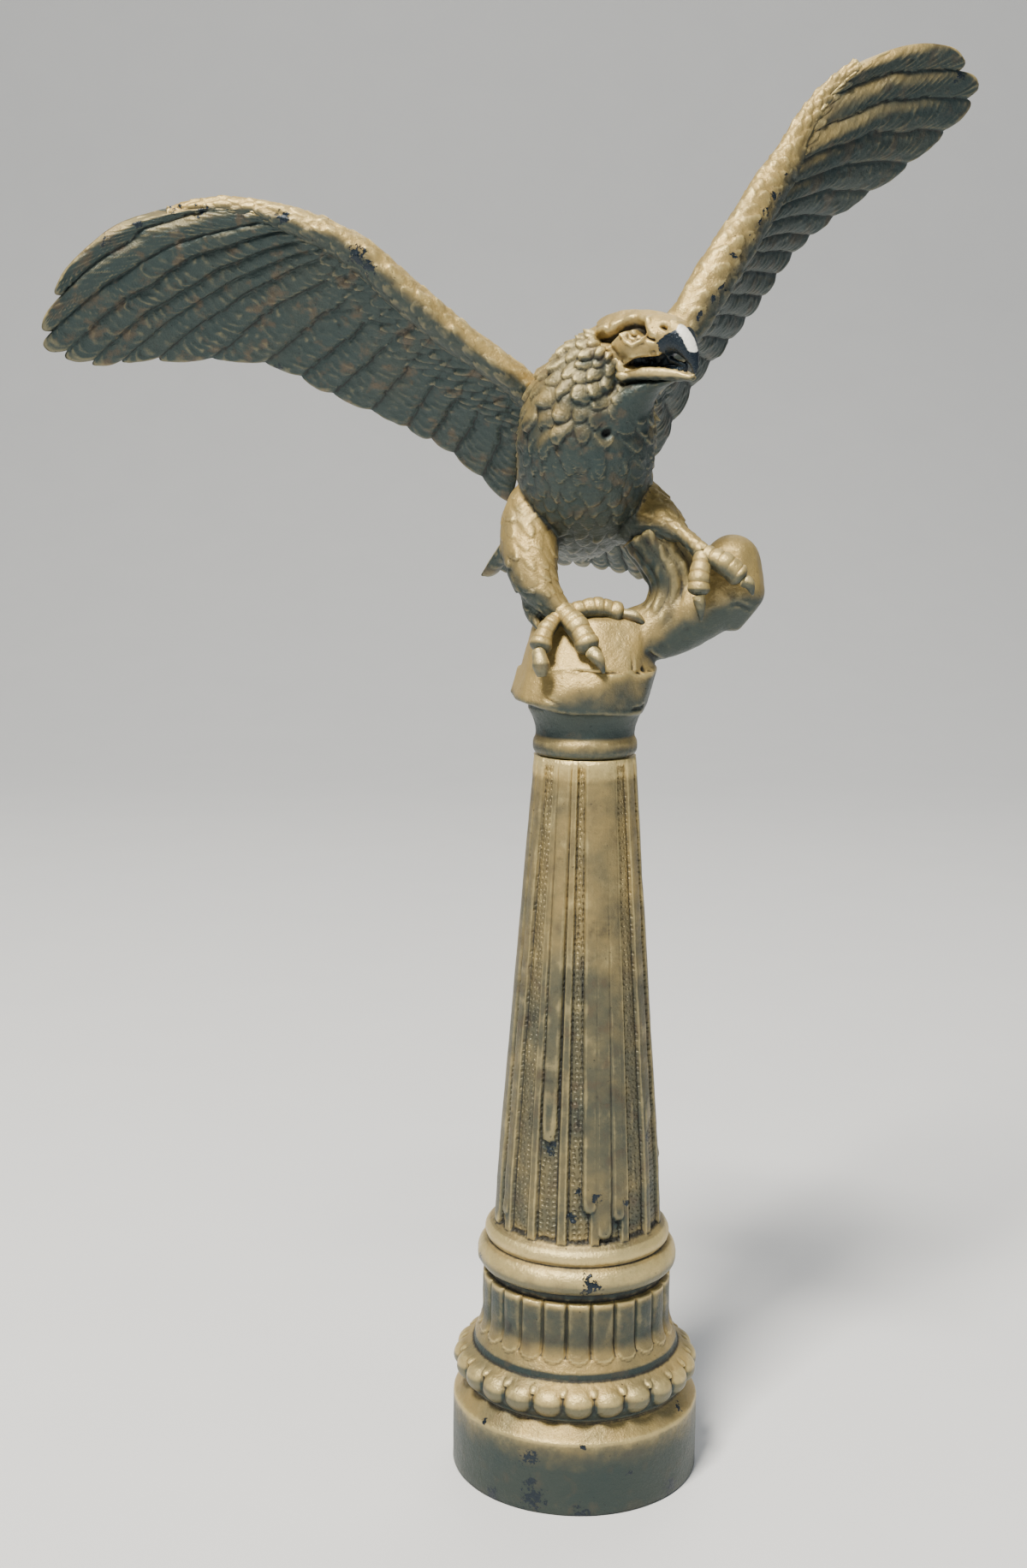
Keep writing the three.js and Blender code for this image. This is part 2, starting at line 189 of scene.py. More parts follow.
@dataclass
class Surface:
    """A mesh in the making: points in mm, four-sided and three-sided faces, and named values per
    point."""

    points: Array
    quads: Array
    tris: Array = field(default_factory=lambda: np.zeros((0, 3), int))
    marks: dict[str, Array] = field(default_factory=dict)

    @staticmethod
    def joined(parts: list["Surface"]) -> "Surface":
        """All parts in one surface.

        Args:
            parts: the surfaces.

        Returns:
            One surface with every mark that a part has; where a part lacks a mark, it is 0.
        """
        starts = np.cumsum([0] + [len(p.points) for p in parts])
        marks = {}
        for name in sorted({n for p in parts for n in p.marks}):
            values = [p.marks.get(name, np.zeros(len(p.points))) for p in parts]
            marks[name] = np.concatenate(values)
        return Surface(
            np.concatenate([p.points for p in parts]),
            np.concatenate([p.quads + s for p, s in zip(parts, starts)]),
            np.concatenate([p.tris + s for p, s in zip(parts, starts)]),
            marks,
        )

    def corners(self) -> Array:
        """All faces as triangles."""
        return np.concatenate([self.quads[:, [0, 1, 2]], self.quads[:, [0, 2, 3]], self.tris])

    def outward(self) -> "Surface":
        """Turns the faces of a closed surface outwards, by the sign of its volume.

        Returns:
            The same surface.
        """
        a, b, c = (self.points[self.corners()[:, k]] for k in range(3))
        if np.einsum("ij,ij->", a, np.cross(b, c)) < 0:
            self.quads, self.tris = self.quads[:, ::-1], self.tris[:, ::-1]
        return self

    def normals(self) -> Array:
        """Each point's normal: the sum of its faces' normals, larger faces counting more.

        Returns:
            One unit vector for each point.
        """
        t = self.corners()
        a, b, c = (self.points[t[:, k]] for k in range(3))
        n = np.cross(b - a, c - a)
        sums = [np.bincount(t.T.ravel(), np.tile(n[:, k], 3), len(self.points)) for k in range(3)]
        return unit(np.stack(sums, -1))

    def links(self) -> tuple[Array, Array]:
        """Pairs of neighbours, once for each face beside the edge and each way round.

        Returns:
            The first and the second point of each pair.
        """
        ring = [(self.quads[:, k], self.quads[:, (k + 1) % 4]) for k in range(4)]
        ring += [(self.tris[:, k], self.tris[:, (k + 1) % 3]) for k in range(3)]
        a = np.concatenate([x for x, _ in ring])
        b = np.concatenate([y for _, y in ring])
        return np.concatenate([a, b]), np.concatenate([b, a])

    def averaged(self, points: Array, rounds: int) -> Array:
        """Points moved halfway to the mean of their neighbours, a number of times.

        Args:
            points: places for this surface's points, mm.
            rounds: how often they are moved.

        Returns:
            The new places.
        """
        a, b = self.links()
        count = np.maximum(np.bincount(a, minlength=len(points)), 1)[:, None]
        for _ in range(rounds):
            sums = [np.bincount(a, points[b, k], len(points)) for k in range(3)]
            points = (points + np.stack(sums, -1) / count) / 2
        return points

    def mark_hollows(self, fine: float = 0.05, broad: float = 0.28) -> "Surface":
        """Adds the marks "ridge", above 0 on ridges and below 0 in hollows, and "under", 1 on
        undersides.

        It compares each point, along its normal, with the surface smoothed a little and smoothed a
        lot.

        Args:
            fine: height in mm that counts fully for small relief.
            broad: the same for large relief.

        Returns:
            The same surface.
        """
        n = self.normals()
        soft = self.averaged(self.points, 3)
        softer = self.averaged(soft, 22)
        small = np.einsum("ij,ij->i", self.points - soft, n) / fine
        large = np.einsum("ij,ij->i", soft - softer, n) / broad
        self.marks["ridge"] = 0.6 * np.clip(small, -1, 1) + 0.4 * np.clip(large, -1, 1)
        facing = Surface(softer, self.quads, self.tris).normals()[:, 2]
        self.marks["under"] = ease(0.56, -0.5, facing)
        return self

    def pushed(self, height: Array) -> "Surface":
        """The surface with each point moved out along its normal by height, mm."""
        self.points = self.points + self.normals() * height[:, None]
        return self


def shell(grid: Array, flat_ends: bool = False) -> Surface:
    """A closed surface from rings of points, each joined to the next.

    Args:
        grid: (rings, points in a ring, 3).
        flat_ends: True where each ring is a thin strip, out along one face and back along the
            other, so that its end is closed straight across; otherwise each end closes on its
            middle.

    Returns:
        The surface, its faces turned outwards.
    """
    rings, around, _ = grid.shape
    index = np.arange(rings * around).reshape(rings, around)
    a, b = index, np.roll(index, -1, axis=1)
    quads = np.stack([a[:-1], b[:-1], b[1:], a[1:]], -1).reshape(-1, 4)
    points = grid.reshape(-1, 3)
    if flat_ends:
        i = np.arange(around // 2 - 1)
        foot, top = index[0], index[-1]
        first = np.stack([foot[i + 1], foot[i], foot[around - 1 - i], foot[around - 2 - i]], -1)
        last = np.stack([top[i], top[i + 1], top[around - 2 - i], top[around - 1 - i]], -1)
        return Surface(points, np.concatenate([quads, first, last])).outward()
    points = np.concatenate([points, grid[0].mean(0)[None], grid[-1].mean(0)[None]])
    foot, top = len(points) - 2, len(points) - 1
    tris = np.concatenate(
        [
            np.stack([np.full(around, foot), b[0], a[0]], -1),
            np.stack([np.full(around, top), a[-1], b[-1]], -1),
        ]
    )
    return Surface(points, quads, tris).outward()


@dataclass(frozen=True)
class Sweep:
    """An oval section carried along a smooth curve.

    wide is the half width, square to the hint direction, and deep is the half depth.
    """

    line: list[Point]
    wide: list[float]
    deep: list[float]
    hint: Point = (0.0, 0.0, 1.0)

    def station(self, t: Array) -> tuple[Array, Array, Array, Array, Array]:
        """The section's frame: side is hint x ahead, and rise is ahead x side.

        Args:
            t: places on the curve, 0 to 1.

        Returns:
            At each place the curve's point, its side and rise directions, and the section's half
            width and half depth.
        """
        step = 0.004
        before, after = np.maximum(t - step, 0), np.minimum(t + step, 1)
        ahead = unit(spline(self.line, after) - spline(self.line, before))
        side = unit(np.cross(np.asarray(self.hint), ahead))
        rise = np.cross(ahead, side)
        return spline(self.line, t), side, rise, spline(self.wide, t), spline(self.deep, t)

    def length(self) -> float:
        """The curve's length, mm."""
        p = spline(self.line, np.linspace(0, 1, 200))
        return float(np.linalg.norm(np.diff(p, axis=0), axis=1).sum())

    def grid(self, along: int, around: int, swell: Array | None = None) -> Array:
        """Rings of the sweep: centre + side * wide * cos(a) + rise * deep * sin(a), each radius
        plus swell.

        Args:
            along: the number of rings.
            around: the points in a ring.
            swell: what is added to the radius, (along, around), mm, or None.

        Returns:
            The points, (along, around, 3).
        """
        t = np.linspace(0, 1, along)
        a = np.linspace(0, 2 * np.pi, around, endpoint=False)
        centre, side, rise, wide, deep = self.station(t)
        extra = np.zeros((along, around)) if swell is None else swell
        x = (wide[:, None] + extra) * np.cos(a)
        y = (deep[:, None] + extra) * np.sin(a)
        return centre[:, None] + side[:, None] * x[..., None] + rise[:, None] * y[..., None]

    def tube(self, along: int = 60, around: int = 40) -> Surface:
        """The closed sweep."""
        return shell(self.grid(along, around))

    def locate(self, points: Array) -> tuple[Array, Array, Array]:
        """Where points lie on the sweep.

        Args:
            points: (n, 3), mm.

        Returns:
            The place t of the nearest point of the curve, the turn round it (one turn = 1), and the
            distance from it as a share of the section's radius there.
        """
        stations = 90
        t = np.linspace(0, 1, stations)
        centre, side, rise, wide, deep = self.station(t)
        best = np.full(len(points), np.inf)
        near = np.zeros(len(points), int)
        for k in range(stations):
            d = np.einsum("ij,ij->i", points - centre[k], points - centre[k])
            near = np.where(d < best, k, near)
            best = np.minimum(best, d)
        ahead = np.cross(side, rise)
        d = points - centre[near]
        slip = np.einsum("ij,ij->i", d, ahead[near]) / self.length()
        x = np.einsum("ij,ij->i", d, side[near]) / wide[near]
        y = np.einsum("ij,ij->i", d, rise[near]) / deep[near]
        return t[near] + slip, np.arctan2(y, x) / (2 * np.pi), np.hypot(x, y)


@dataclass(frozen=True)
class Stroke:
    """A line drawn on a surface, height * exp(-(distance/width)^edge) from its path.

    The width is one number, or one for each knot of the path. A larger edge gives steeper sides.
    """

    path: list[Point]
    width: float | list[float]
    height: float
    edge: float = 2.0

    def relief(self, points: Array) -> Array:
        """The stroke's height at each point, from the nearest place on its straight pieces.

        Args:
            points: (n, 3), mm.

        Returns:
            The height of each, mm.
        """
        line = np.asarray(self.path, float)
        if len(line) == 1:
            line = np.repeat(line, 2, axis=0)
        widths = np.broadcast_to(self.width, len(line))
        best = np.full(len(points), np.inf)
        for a, b, start, end in zip(line[:-1], line[1:], widths[:-1], widths[1:]):
            ab = b - a
            t = np.clip((points - a) @ ab / max(ab @ ab, 1e-9), 0, 1)
            away = np.linalg.norm(points - a - t[:, None] * ab, axis=1)
            best = np.minimum(best, away / (start + (end - start) * t))
        return self.height * np.exp(-(best**self.edge))


def fused(parts: list[Surface], voxel: float, rounds: int) -> Surface:
    """One casting from shells that overlap, with soft inner corners.

    Blender's voxel remesh gives the skin round all of them; averaging with the neighbours then
    fills the corners, which a swept grid can't do where limbs meet.

    Args:
        parts: closed surfaces, mm.
        voxel: the remesh's cell, mm.
        rounds: how often the points are averaged.

    Returns:
        The skin.
    """
    whole = Surface.joined(parts)
    mesh = bpy.data.meshes.new("fusing")
    mesh.from_pydata(whole.points.tolist(), [], whole.quads.tolist() + whole.tris.tolist())
    thing = bpy.data.objects.new("fusing", mesh)
    bpy.context.scene.collection.objects.link(thing)
    remesh = thing.modifiers.new("skin", "REMESH")
    remesh.mode = "VOXEL"
    remesh.voxel_size = voxel
    done = thing.evaluated_get(bpy.context.evaluated_depsgraph_get()).to_mesh()
    points = np.empty(len(done.vertices) * 3)
    done.vertices.foreach_get("co", points)
    loops = np.empty(len(done.loops), int)
    done.loops.foreach_get("vertex_index", loops)
    skin = Surface(points.reshape(-1, 3), loops.reshape(-1, 4))
    thing.to_mesh_clear()
    bpy.data.objects.remove(thing)
    bpy.data.meshes.remove(mesh)
    skin.points = skin.averaged(skin.points, rounds)
    return skin


def cast(
    name: str,
    node: str,
    surface: Surface,
    material: bpy.types.Material,
    flow: Array | None = None,
) -> bpy.types.Object:
    """Makes the Blender piece that stands for a CAD node.

    Args:
        name: the piece's name.
        node: the CAD node that it stands for.
        surface: its mesh in mm, with its marks.
        material: its finish.
        flow: places on the piece for the finish's pits, (faces * corners, 2), or None.

    Returns:
        The object, riding on the root body.
    """
    mesh = bpy.data.meshes.new(name)
    faces = surface.quads.tolist() + surface.tris.tolist()
    mesh.from_pydata((surface.points * MM).tolist(), [], faces)
    mesh.polygons.foreach_set("use_smooth", np.ones(len(mesh.polygons), bool))
    for mark in MARKS:
        values = surface.marks.get(mark, np.zeros(len(surface.points)))
        layer = mesh.attributes.new(mark, "FLOAT", "POINT")
        layer.data.foreach_set("value", values.astype(np.float32))
    if flow is not None:
        layer = mesh.uv_layers.new(name="round_column")
        layer.data.foreach_set("uv", flow.astype(np.float32).ravel())
    mesh.materials.append(material)
    thing = bpy.data.objects.new(name, mesh)
    bpy.context.scene.collection.objects.link(thing)
    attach(thing, "root")
    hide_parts(node)
    LOG.info("%s: %d triangles", name, 2 * len(surface.quads) + len(surface.tris))
    return thing


# ----------------------------------------------------------------------------------------- finishes


class Mix(Enum):
    """How one value joins another in a finish."""

    ADD = "ADD"
    SUBTRACT = "SUBTRACT"
    TIMES = "MULTIPLY"
    LARGER = "MAXIMUM"


class Recipe:
    """Short ways to add shader nodes to one material."""

    def __init__(self, name: str) -> None:
        """Starts an empty node material with its shader."""
        self.material = bpy.data.materials.new(name)
        self.material.use_nodes = True
        self.tree = self.material.node_tree
        self.shader = self.tree.nodes["Principled BSDF"]
        self.place = self.tree.nodes.new("ShaderNodeTexCoord").outputs["Object"]

    def link(self, value: object, socket: Socket) -> None:
        """Feeds a socket.

        Args:
            value: another socket, or a plain number or colour.
            socket: the socket that is fed.
        """
        if isinstance(value, Socket):
            self.tree.links.new(value, socket)
        else:
            socket.default_value = value

    def mark(self, name: str) -> Socket:
        """The value that a mesh's points carry under a name.

        Args:
            name: one of MARKS.

        Returns:
            The value's socket.
        """
        node = self.tree.nodes.new("ShaderNodeAttribute")
        node.attribute_name = name
        return node.outputs["Fac"]

    def noise(self, size: float, detail: float = 3.0, rough: float = 0.55) -> Socket:
        """Noise from 0 to 1 over the piece.

        Args:
            size: the width of its features, mm.
            detail: how many finer layers it has.
            rough: how strong those are.

        Returns:
            The noise's socket.
        """
        node = self.tree.nodes.new("ShaderNodeTexNoise")
        node.inputs["Scale"].default_value = 1.0 / (size * MM)
        node.inputs["Detail"].default_value = detail
        node.inputs["Roughness"].default_value = rough
        self.tree.links.new(self.place, node.inputs["Vector"])
        return node.outputs["Fac"]

    def sum(self, how: Mix, a: object, b: object) -> Socket:
        """Two values joined.

        Args:
            how: the operation.
            a: a socket or a number.
            b: a socket or a number.

        Returns:
            The result's socket.
        """
        node = self.tree.nodes.new("ShaderNodeMath")
        node.operation = how.value
        self.link(a, node.inputs[0])
        self.link(b, node.inputs[1])
        return node.outputs[0]

    def plus(self, a: object, b: object) -> Socket:
        """a + b."""
        return self.sum(Mix.ADD, a, b)

    def minus(self, a: object, b: object) -> Socket:
        """a - b."""
        return self.sum(Mix.SUBTRACT, a, b)

    def times(self, a: object, b: object) -> Socket:
        """a * b."""
        return self.sum(Mix.TIMES, a, b)

    def swing(self, noise: Socket, amount: float) -> Socket:
        """Noise round 0 instead of round a half, made amount times as strong."""
        return self.times(self.minus(noise, 0.5), amount)

    def band(
        self, value: Socket, low: float, high: float, to: tuple[float, float] = (0.0, 1.0)
    ) -> Socket:
        """A smooth step.

        Args:
            value: what decides.
            low: where the step starts.
            high: where it ends; below low, the step runs the other way.
            to: the values before and after the step.

        Returns:
            The step's socket.
        """
        node = self.tree.nodes.new("ShaderNodeMapRange")
        node.interpolation_type = "SMOOTHSTEP"
        self.link(value, node.inputs["Value"])
        for key, number in zip(("From Min", "From Max", "To Min", "To Max"), (low, high, *to)):
            node.inputs[key].default_value = number
        return node.outputs[0]

    def tint(self, under: object, over: object, share: object) -> Socket:
        """One colour laid over another.

        Args:
            under: the lower colour.
            over: the upper colour.
            share: how much of the upper one shows, 0 to 1.

        Returns:
            The mixed colour's socket.
        """
        node = self.tree.nodes.new("ShaderNodeMix")
        node.data_type = "RGBA"
        self.link(share, node.inputs["Factor"])
        self.link(under, node.inputs["A"])
        self.link(over, node.inputs["B"])
        return node.outputs["Result"]

    def bump(self, height: Socket, depth: float, below: Socket | None = None) -> Socket:
        """A bumped normal.

        Args:
            height: the relief, 0 to 1.
            depth: how proud a height of 1 stands, mm.
            below: the normal that it is laid on, or None.

        Returns:
            The normal's socket.
        """
        node = self.tree.nodes.new("ShaderNodeBump")
        node.inputs["Distance"].default_value = depth * MM
        self.link(height, node.inputs["Height"])
        if below is not None:
            self.link(below, node.inputs["Normal"])
        return node.outputs[0]


@dataclass(frozen=True)
class GiltPaint:
    """Old gold paint on dark cast metal.

    Clean gold is rubbed to cream on the ridges, partly wear and partly a painted highlight, and
    turns khaki where it is tarnished and where shade is painted. Soot colour in the hollows is
    painted shade, the dark teal on the undersides is painted shade and a painted reflection of blue
    surroundings, and the paint is chipped to blue-black metal. A rubbed patch on the beak is
    painted near-white as a highlight.
    """

    gold: Colour = (0.47, 0.335, 0.118, 1)
    # rubbed wear on the ridges, partly a painted highlight
    highlight_cream: Colour = (0.80, 0.635, 0.275, 1)
    khaki: Colour = (0.235, 0.195, 0.095, 1)
    # painted shade on the undersides, teal like a reflection of blue surroundings
    underside_shade_teal: Colour = (0.022, 0.043, 0.047, 1)
    brown: Colour = (0.17, 0.10, 0.048, 1)
    # dark specks, and painted shade in the hollows
    soot_and_shade: Colour = (0.022, 0.024, 0.024, 1)
    metal: Colour = (0.009, 0.017, 0.026, 1)
    # a near-white painted highlight on a rubbed patch of the beak
    rubbed_glint_white: Colour = (0.80, 0.78, 0.70, 1)
    pit_size: float = 1.6

    def mix(self, name: str, pits: bool = False) -> bpy.types.Material:
        """Builds the material.

        Args:
            name: its name.
            pits: True on the column, whose sunk panels are punched with rows of small pits.

        Returns:
            The material.
        """
        r = Recipe(name)
        ridge, under, bare, tarnish = (r.mark(n) for n in ("ridge", "under", "bare", "tarnish"))
        broad, patch = r.noise(14), r.noise(5, 5)
        fine, grain = r.noise(1.3, 5, 0.65), r.noise(0.35)

        # gold to khaki in clouds and with tarnish and painted shade, then teal painted shade on
        # undersides, then brown stains on it
        shade = r.plus(r.times(tarnish, 0.45), r.swing(broad, 1.0))
        colour = r.tint(self.gold, self.khaki, r.band(shade, 0.0, 0.5))
        underside_shade = r.plus(r.plus(under, r.swing(patch, 0.5)), r.times(tarnish, 0.25))
        underside_shade = r.band(underside_shade, 0.12, 0.95, (0.0, 0.95))
        colour = r.tint(colour, self.underside_shade_teal, underside_shade)
        stain = r.times(r.band(patch, 0.52, 0.68), r.times(tarnish, 0.4))
        colour = r.tint(colour, self.brown, stain)

        # ridges rubbed to cream, partly a painted highlight, fainter in the underside shade;
        # soot colour in the hollows as painted shade
        ridges_and_hollows = r.plus(ridge, r.swing(fine, 0.9))
        rubbed_highlight = r.times(r.band(ridges_and_hollows, 0.12, 0.95), r.minus(0.62, r.times(underside_shade, 0.5)))
        colour = r.tint(colour, self.highlight_cream, rubbed_highlight)
        colour = r.tint(colour, self.soot_and_shade, r.band(ridges_and_hollows, -0.2, -0.95, (0.0, 0.93)))

        # dark specks, ragged chips down to the metal, and a rubbed patch painted near-white
        # as a highlight
        specks = r.band(r.noise(0.9, 2, 0.6), 0.7, 0.76)
        chips = r.band(r.plus(bare, r.swing(fine, 1.9)), 0.56, 0.62)
        polish = r.band(r.plus(r.mark("polish"), r.swing(fine, 0.5)), 0.45, 0.6)
        colour = r.tint(colour, self.soot_and_shade, r.times(specks, 0.75))
        colour = r.tint(colour, self.metal, chips)
        colour = r.tint(colour, self.rubbed_glint_white, polish)
        r.link(colour, r.shader.inputs["Base Color"])

        rough = r.band(r.plus(grain, r.times(ridge, -0.3)), 0.2, 0.9, (0.38, 0.62))
        r.link(r.minus(rough, r.times(chips, 0.15)), r.shader.inputs["Roughness"])
        metallic = r.minus(0.6, r.times(polish, 0.4))
        r.link(r.minus(metallic, r.times(chips, 0.2)), r.shader.inputs["Metallic"])

        skin = r.bump(r.plus(fine, r.times(patch, 0.8)), 0.3)
        skin = r.bump(grain, 0.06, skin)
        skin = r.bump(r.minus(1.0, r.sum(Mix.LARGER, chips, specks)), 0.12, skin)
        if pits:
            skin = r.bump(self.pit_pattern(r), 0.3, skin)
        r.link(skin, r.shader.inputs["Normal"])
        return r.material

    def pit_pattern(self, r: Recipe) -> Socket:
        """Rows of round pits on the unrolled column, only where the mark "pitted" is set.

        Args:
            r: the material's recipe.

        Returns:
            The pits' depth, from -1 to 0.
        """
        flow = r.tree.nodes.new("ShaderNodeUVMap")
        flow.uv_map = "round_column"
        cells = r.tree.nodes.new("ShaderNodeTexVoronoi")
        cells.voronoi_dimensions = "2D"
        cells.inputs["Scale"].default_value = 1.0 / self.pit_size
        cells.inputs["Randomness"].default_value = 0.45
        r.tree.links.new(flow.outputs[0], cells.inputs["Vector"])
        depth = r.band(cells.outputs["Distance"], 0.16, 0.42, (-1.0, 0.0))
        return r.times(depth, r.mark("pitted"))


@dataclass(frozen=True)
class PaleFloor:
    """A plain pale matt floor with a faint mottle."""

    shade: Colour = (0.80, 0.80, 0.79, 1)
    mottle: Colour = (0.76, 0.76, 0.755, 1)

    def mix(self) -> bpy.types.Material:
        """Builds the material.

        Returns:
            The material.
        """
        r = Recipe("pale_floor")
        r.link(r.tint(self.shade, self.mottle, r.noise(60)), r.shader.inputs["Base Color"])
        r.shader.inputs["Roughness"].default_value = 0.75
        return r.material


# ------------------------------------------------------------------------------------------- column


@dataclass(frozen=True)
class PaintRun:
    """A long run of thick paint down the shaft that ends in a rounded drop."""

    angle: float
    half_width: float
    end: float
    height: float = 1.0

    def relief(self, angle: Array, z: Array, radius: Array) -> Array:
        """A half-round ridge: height * sqrt(1 - (d/half_width)^2), d the distance from the run's
        middle line.

        Args:
            angle: degrees from the front.
            z: height, mm.
            radius: the plain shaft's radius, mm.

        Returns:
            The ridge's height, thicker in the drop at its end, mm.
        """
        x = np.radians((angle - self.angle + 180) % 360 - 180) * radius
        tip = self.end + self.half_width
        d = np.where(z > tip, np.abs(x), np.hypot(x, tip - z))
        dome = np.sqrt(np.clip(1 - (d / self.half_width) ** 2, 0, 1))
        drop = 0.35 * np.exp(-(((z - tip) / 2.2) ** 2))
        return (self.height + drop) * np.minimum(dome * 1.25, 1.0)


@dataclass
class Column:
    """The column: a plain band, a ring of beads, a reeded drum, two small rings and the fluted
    shaft.

    Angles are in degrees from the front (-Y), growing towards +X.
    """

    outline: list[tuple] = field(
        default_factory=lambda: [
            # the plain band and the slope on it
            (1, (35, 0.5)), (9, (35, 20)), (3, (35, 20.9), (34.5, 21.3)), (7, (31.2, 25)),
            (2, (31, 25.6)),
            # the ring of beads, and the riser and flare on it
            (11, (33.9, 26.8), (34, 30.4)), (10, (33.9, 33.4), (31.8, 34.8)), (4, (29.3, 36.2)),
            (4, (28.8, 38.3)), (6, (28.3, 39.4), (27.4, 41.2)), (7, (26.5, 43.2), (26.3, 46)),
            # the drum and its neck
            (4, (26.3, 54.6)), (5, (26.2, 56.8)), (3, (24.9, 57.4)), (4, (25, 59.9)),
            # the large ring and the small one
            (7, (28.5, 59.8), (28.3, 63)), (7, (27.9, 66.3), (25.2, 67.4)),
            (7, (27.5, 70.1), (24.2, 72.3)),
            # the shaft
            (2, (23.7, 73)), (22, (23, 87.6)), (19, (22, 102)), (24, (14.5, 199)),
            (3, (14.4, 201.4)), (3, (14, 205)),
        ]
    )
    start: tuple[float, float] = (34.5, 0.0)
    shaft_top: float = 205.0
    bead_z: float = 31.3
    bead_half: float = 4.7
    bead_ring: tuple[float, float] = (25.7, 35.6)
    bead_count: int = 24
    reed_count: int = 24
    reed_groove: float = 1.1
    reed_zone: tuple[float, float] = (39.0, 58.0)
    riser_z: float = 37.3
    flute_zone: tuple[float, float] = (72.5, 205.0)
    flute_count: int = 16
    flute_depth: float = 0.9
    fillet_angle: float = 6.0
    first_fillet: float = -35.0
    around: int = 480
    runs: list[PaintRun] = field(
        default_factory=lambda: [
            PaintRun(-24.4, 2.3, 101.1),
            PaintRun(6.6, 2.1, 81.7),
            PaintRun(16.6, 2.5, 74.2),
            PaintRun(27.5, 2.0, 79.0),
            PaintRun(59.5, 2.2, 102.1),
            PaintRun(-73.5, 1.9, 72.6),
            PaintRun(-60.0, 1.8, 77.0),
            PaintRun(100.0, 2.2, 88.0),
            PaintRun(145.0, 2.3, 96.0),
            PaintRun(-112.0, 2.0, 84.0),
            PaintRun(-150.0, 2.2, 92.0),
        ]
    )
    chips: list[tuple[float, float, float]] = field(
        default_factory=lambda: [
            (-24.3, 99.4, 2.6), (-6.1, 81.1, 2.2), (-1.0, 88.0, 1.2), (11.1, 86.4, 1.6),
            (33.0, 84.0, 1.3), (58.6, 100.6, 1.8), (-22.9, 15.7, 3.2), (-21.7, 8.7, 2.2),
            (-20.2, 4.3, 4.2), (49.2, 3.0, 3.2), (2.1, 20.3, 1.4), (5.0, 63.4, 3.0),
            (9.0, 62.8, 2.2), (2.2, 0.5, 3.4), (-41.6, 1.6, 3.0), (24, 12, 1.3),
            (-48, 21.5, 1.4), (60, 23, 1.6), (118, 3, 3), (-130, 5, 3.4),
            (170, 60, 2.4), (-75, 62, 2), (80, 2, 2.6),
        ]
    )

    def profile(self) -> tuple[Array, Array]:
        """The column's outline, from the edge of its underside to its top.

        Each row of outline gives a number of points and the next corner, reached in a straight
        line, or first a guide: then the line is the curve (1-t)^2 * from + 2t(1-t) * guide + t^2 *
        to.

        Returns:
            The radius and the height of each point.
        """
        path = [np.array([self.start])]
        for count, *guides in self.outline:
            t = np.linspace(0, 1, count + 1)[1:, None]
            first, last = path[-1][-1], np.array(guides[-1], float)
            middle = np.array(guides[0], float) if len(guides) > 1 else (first + last) / 2
            path.append((1 - t) ** 2 * first + 2 * t * (1 - t) * middle + t * t * last)
        radius, z = np.concatenate(path).T
        return radius, z

    def beads(self, angle: Array, z: Array) -> Array:
        """Egg-shaped beads pressed together on a half-round ring, with small pearls above the gaps.

        A bead is 2.9 mm * sqrt(1 - x^2 - y^2.4) - 2 mm, a pearl 1.3 mm * sqrt(1 - x^2 - y^2) - 1
        mm, and the higher of the two is the one seen.

        Args:
            angle: degrees from the front.
            z: height, mm.

        Returns:
            The relief, mm.
        """
        ring_radius, pearl_size, pearl_rise = 34, 1.2, 3.0
        place = angle / 360 * self.bead_count + 0.5
        x = 2 * (place - np.floor(place)) - 1
        y = (z - self.bead_z) / self.bead_half
        bead = 2.9 * np.clip(1 - 0.94 * x * x - np.abs(y) ** 2.4, 0, 1) ** 0.5 - 2.0
        across = (np.abs(x) - 1) * np.pi * ring_radius / self.bead_count / pearl_size
        up = (z - self.bead_z - pearl_rise) / pearl_size
        pearl = 1.3 * np.sqrt(np.clip(1 - across**2 - up**2, 0, 1)) - 1.0
        low, high = self.bead_ring
        inside = (z >= low) & (z <= high)
        fade = ease(low, low + 1.3, z) * ease(high, high - 1.6, z)
        return np.where(inside, np.maximum(bead, pearl) * fade, 0)

    def reeds(self, angle: Array, z: Array) -> Array:
        """Broad flat reeds: grooves |x|^6 deep between them, and rounded feet 0.45 mm proud of the
        flare.

        Args:
            angle: degrees from the front.
            z: height, mm.

        Returns:
            The relief, mm.
        """
        place = angle / 360 * self.reed_count + 0.5
        x = 2 * (place - np.floor(place)) - 1
        low, high = self.reed_zone
        share = 0.2 * x * x + 0.8 * np.abs(x) ** 6
        groove = -self.reed_groove * share * ease(41.0, 43.0, z) * ease(57.6, 56.8, z)
        toe = 40.6 + 1.9 * x * x  # the height where a reed's rounded foot ends
        foot = 0.45 * ease(-0.35, 0.35, z - toe) * (1 - np.abs(x) ** 8) * ease(57.6, 56.9, z)
        return np.where((z > low) & (z < high), groove + foot, 0)

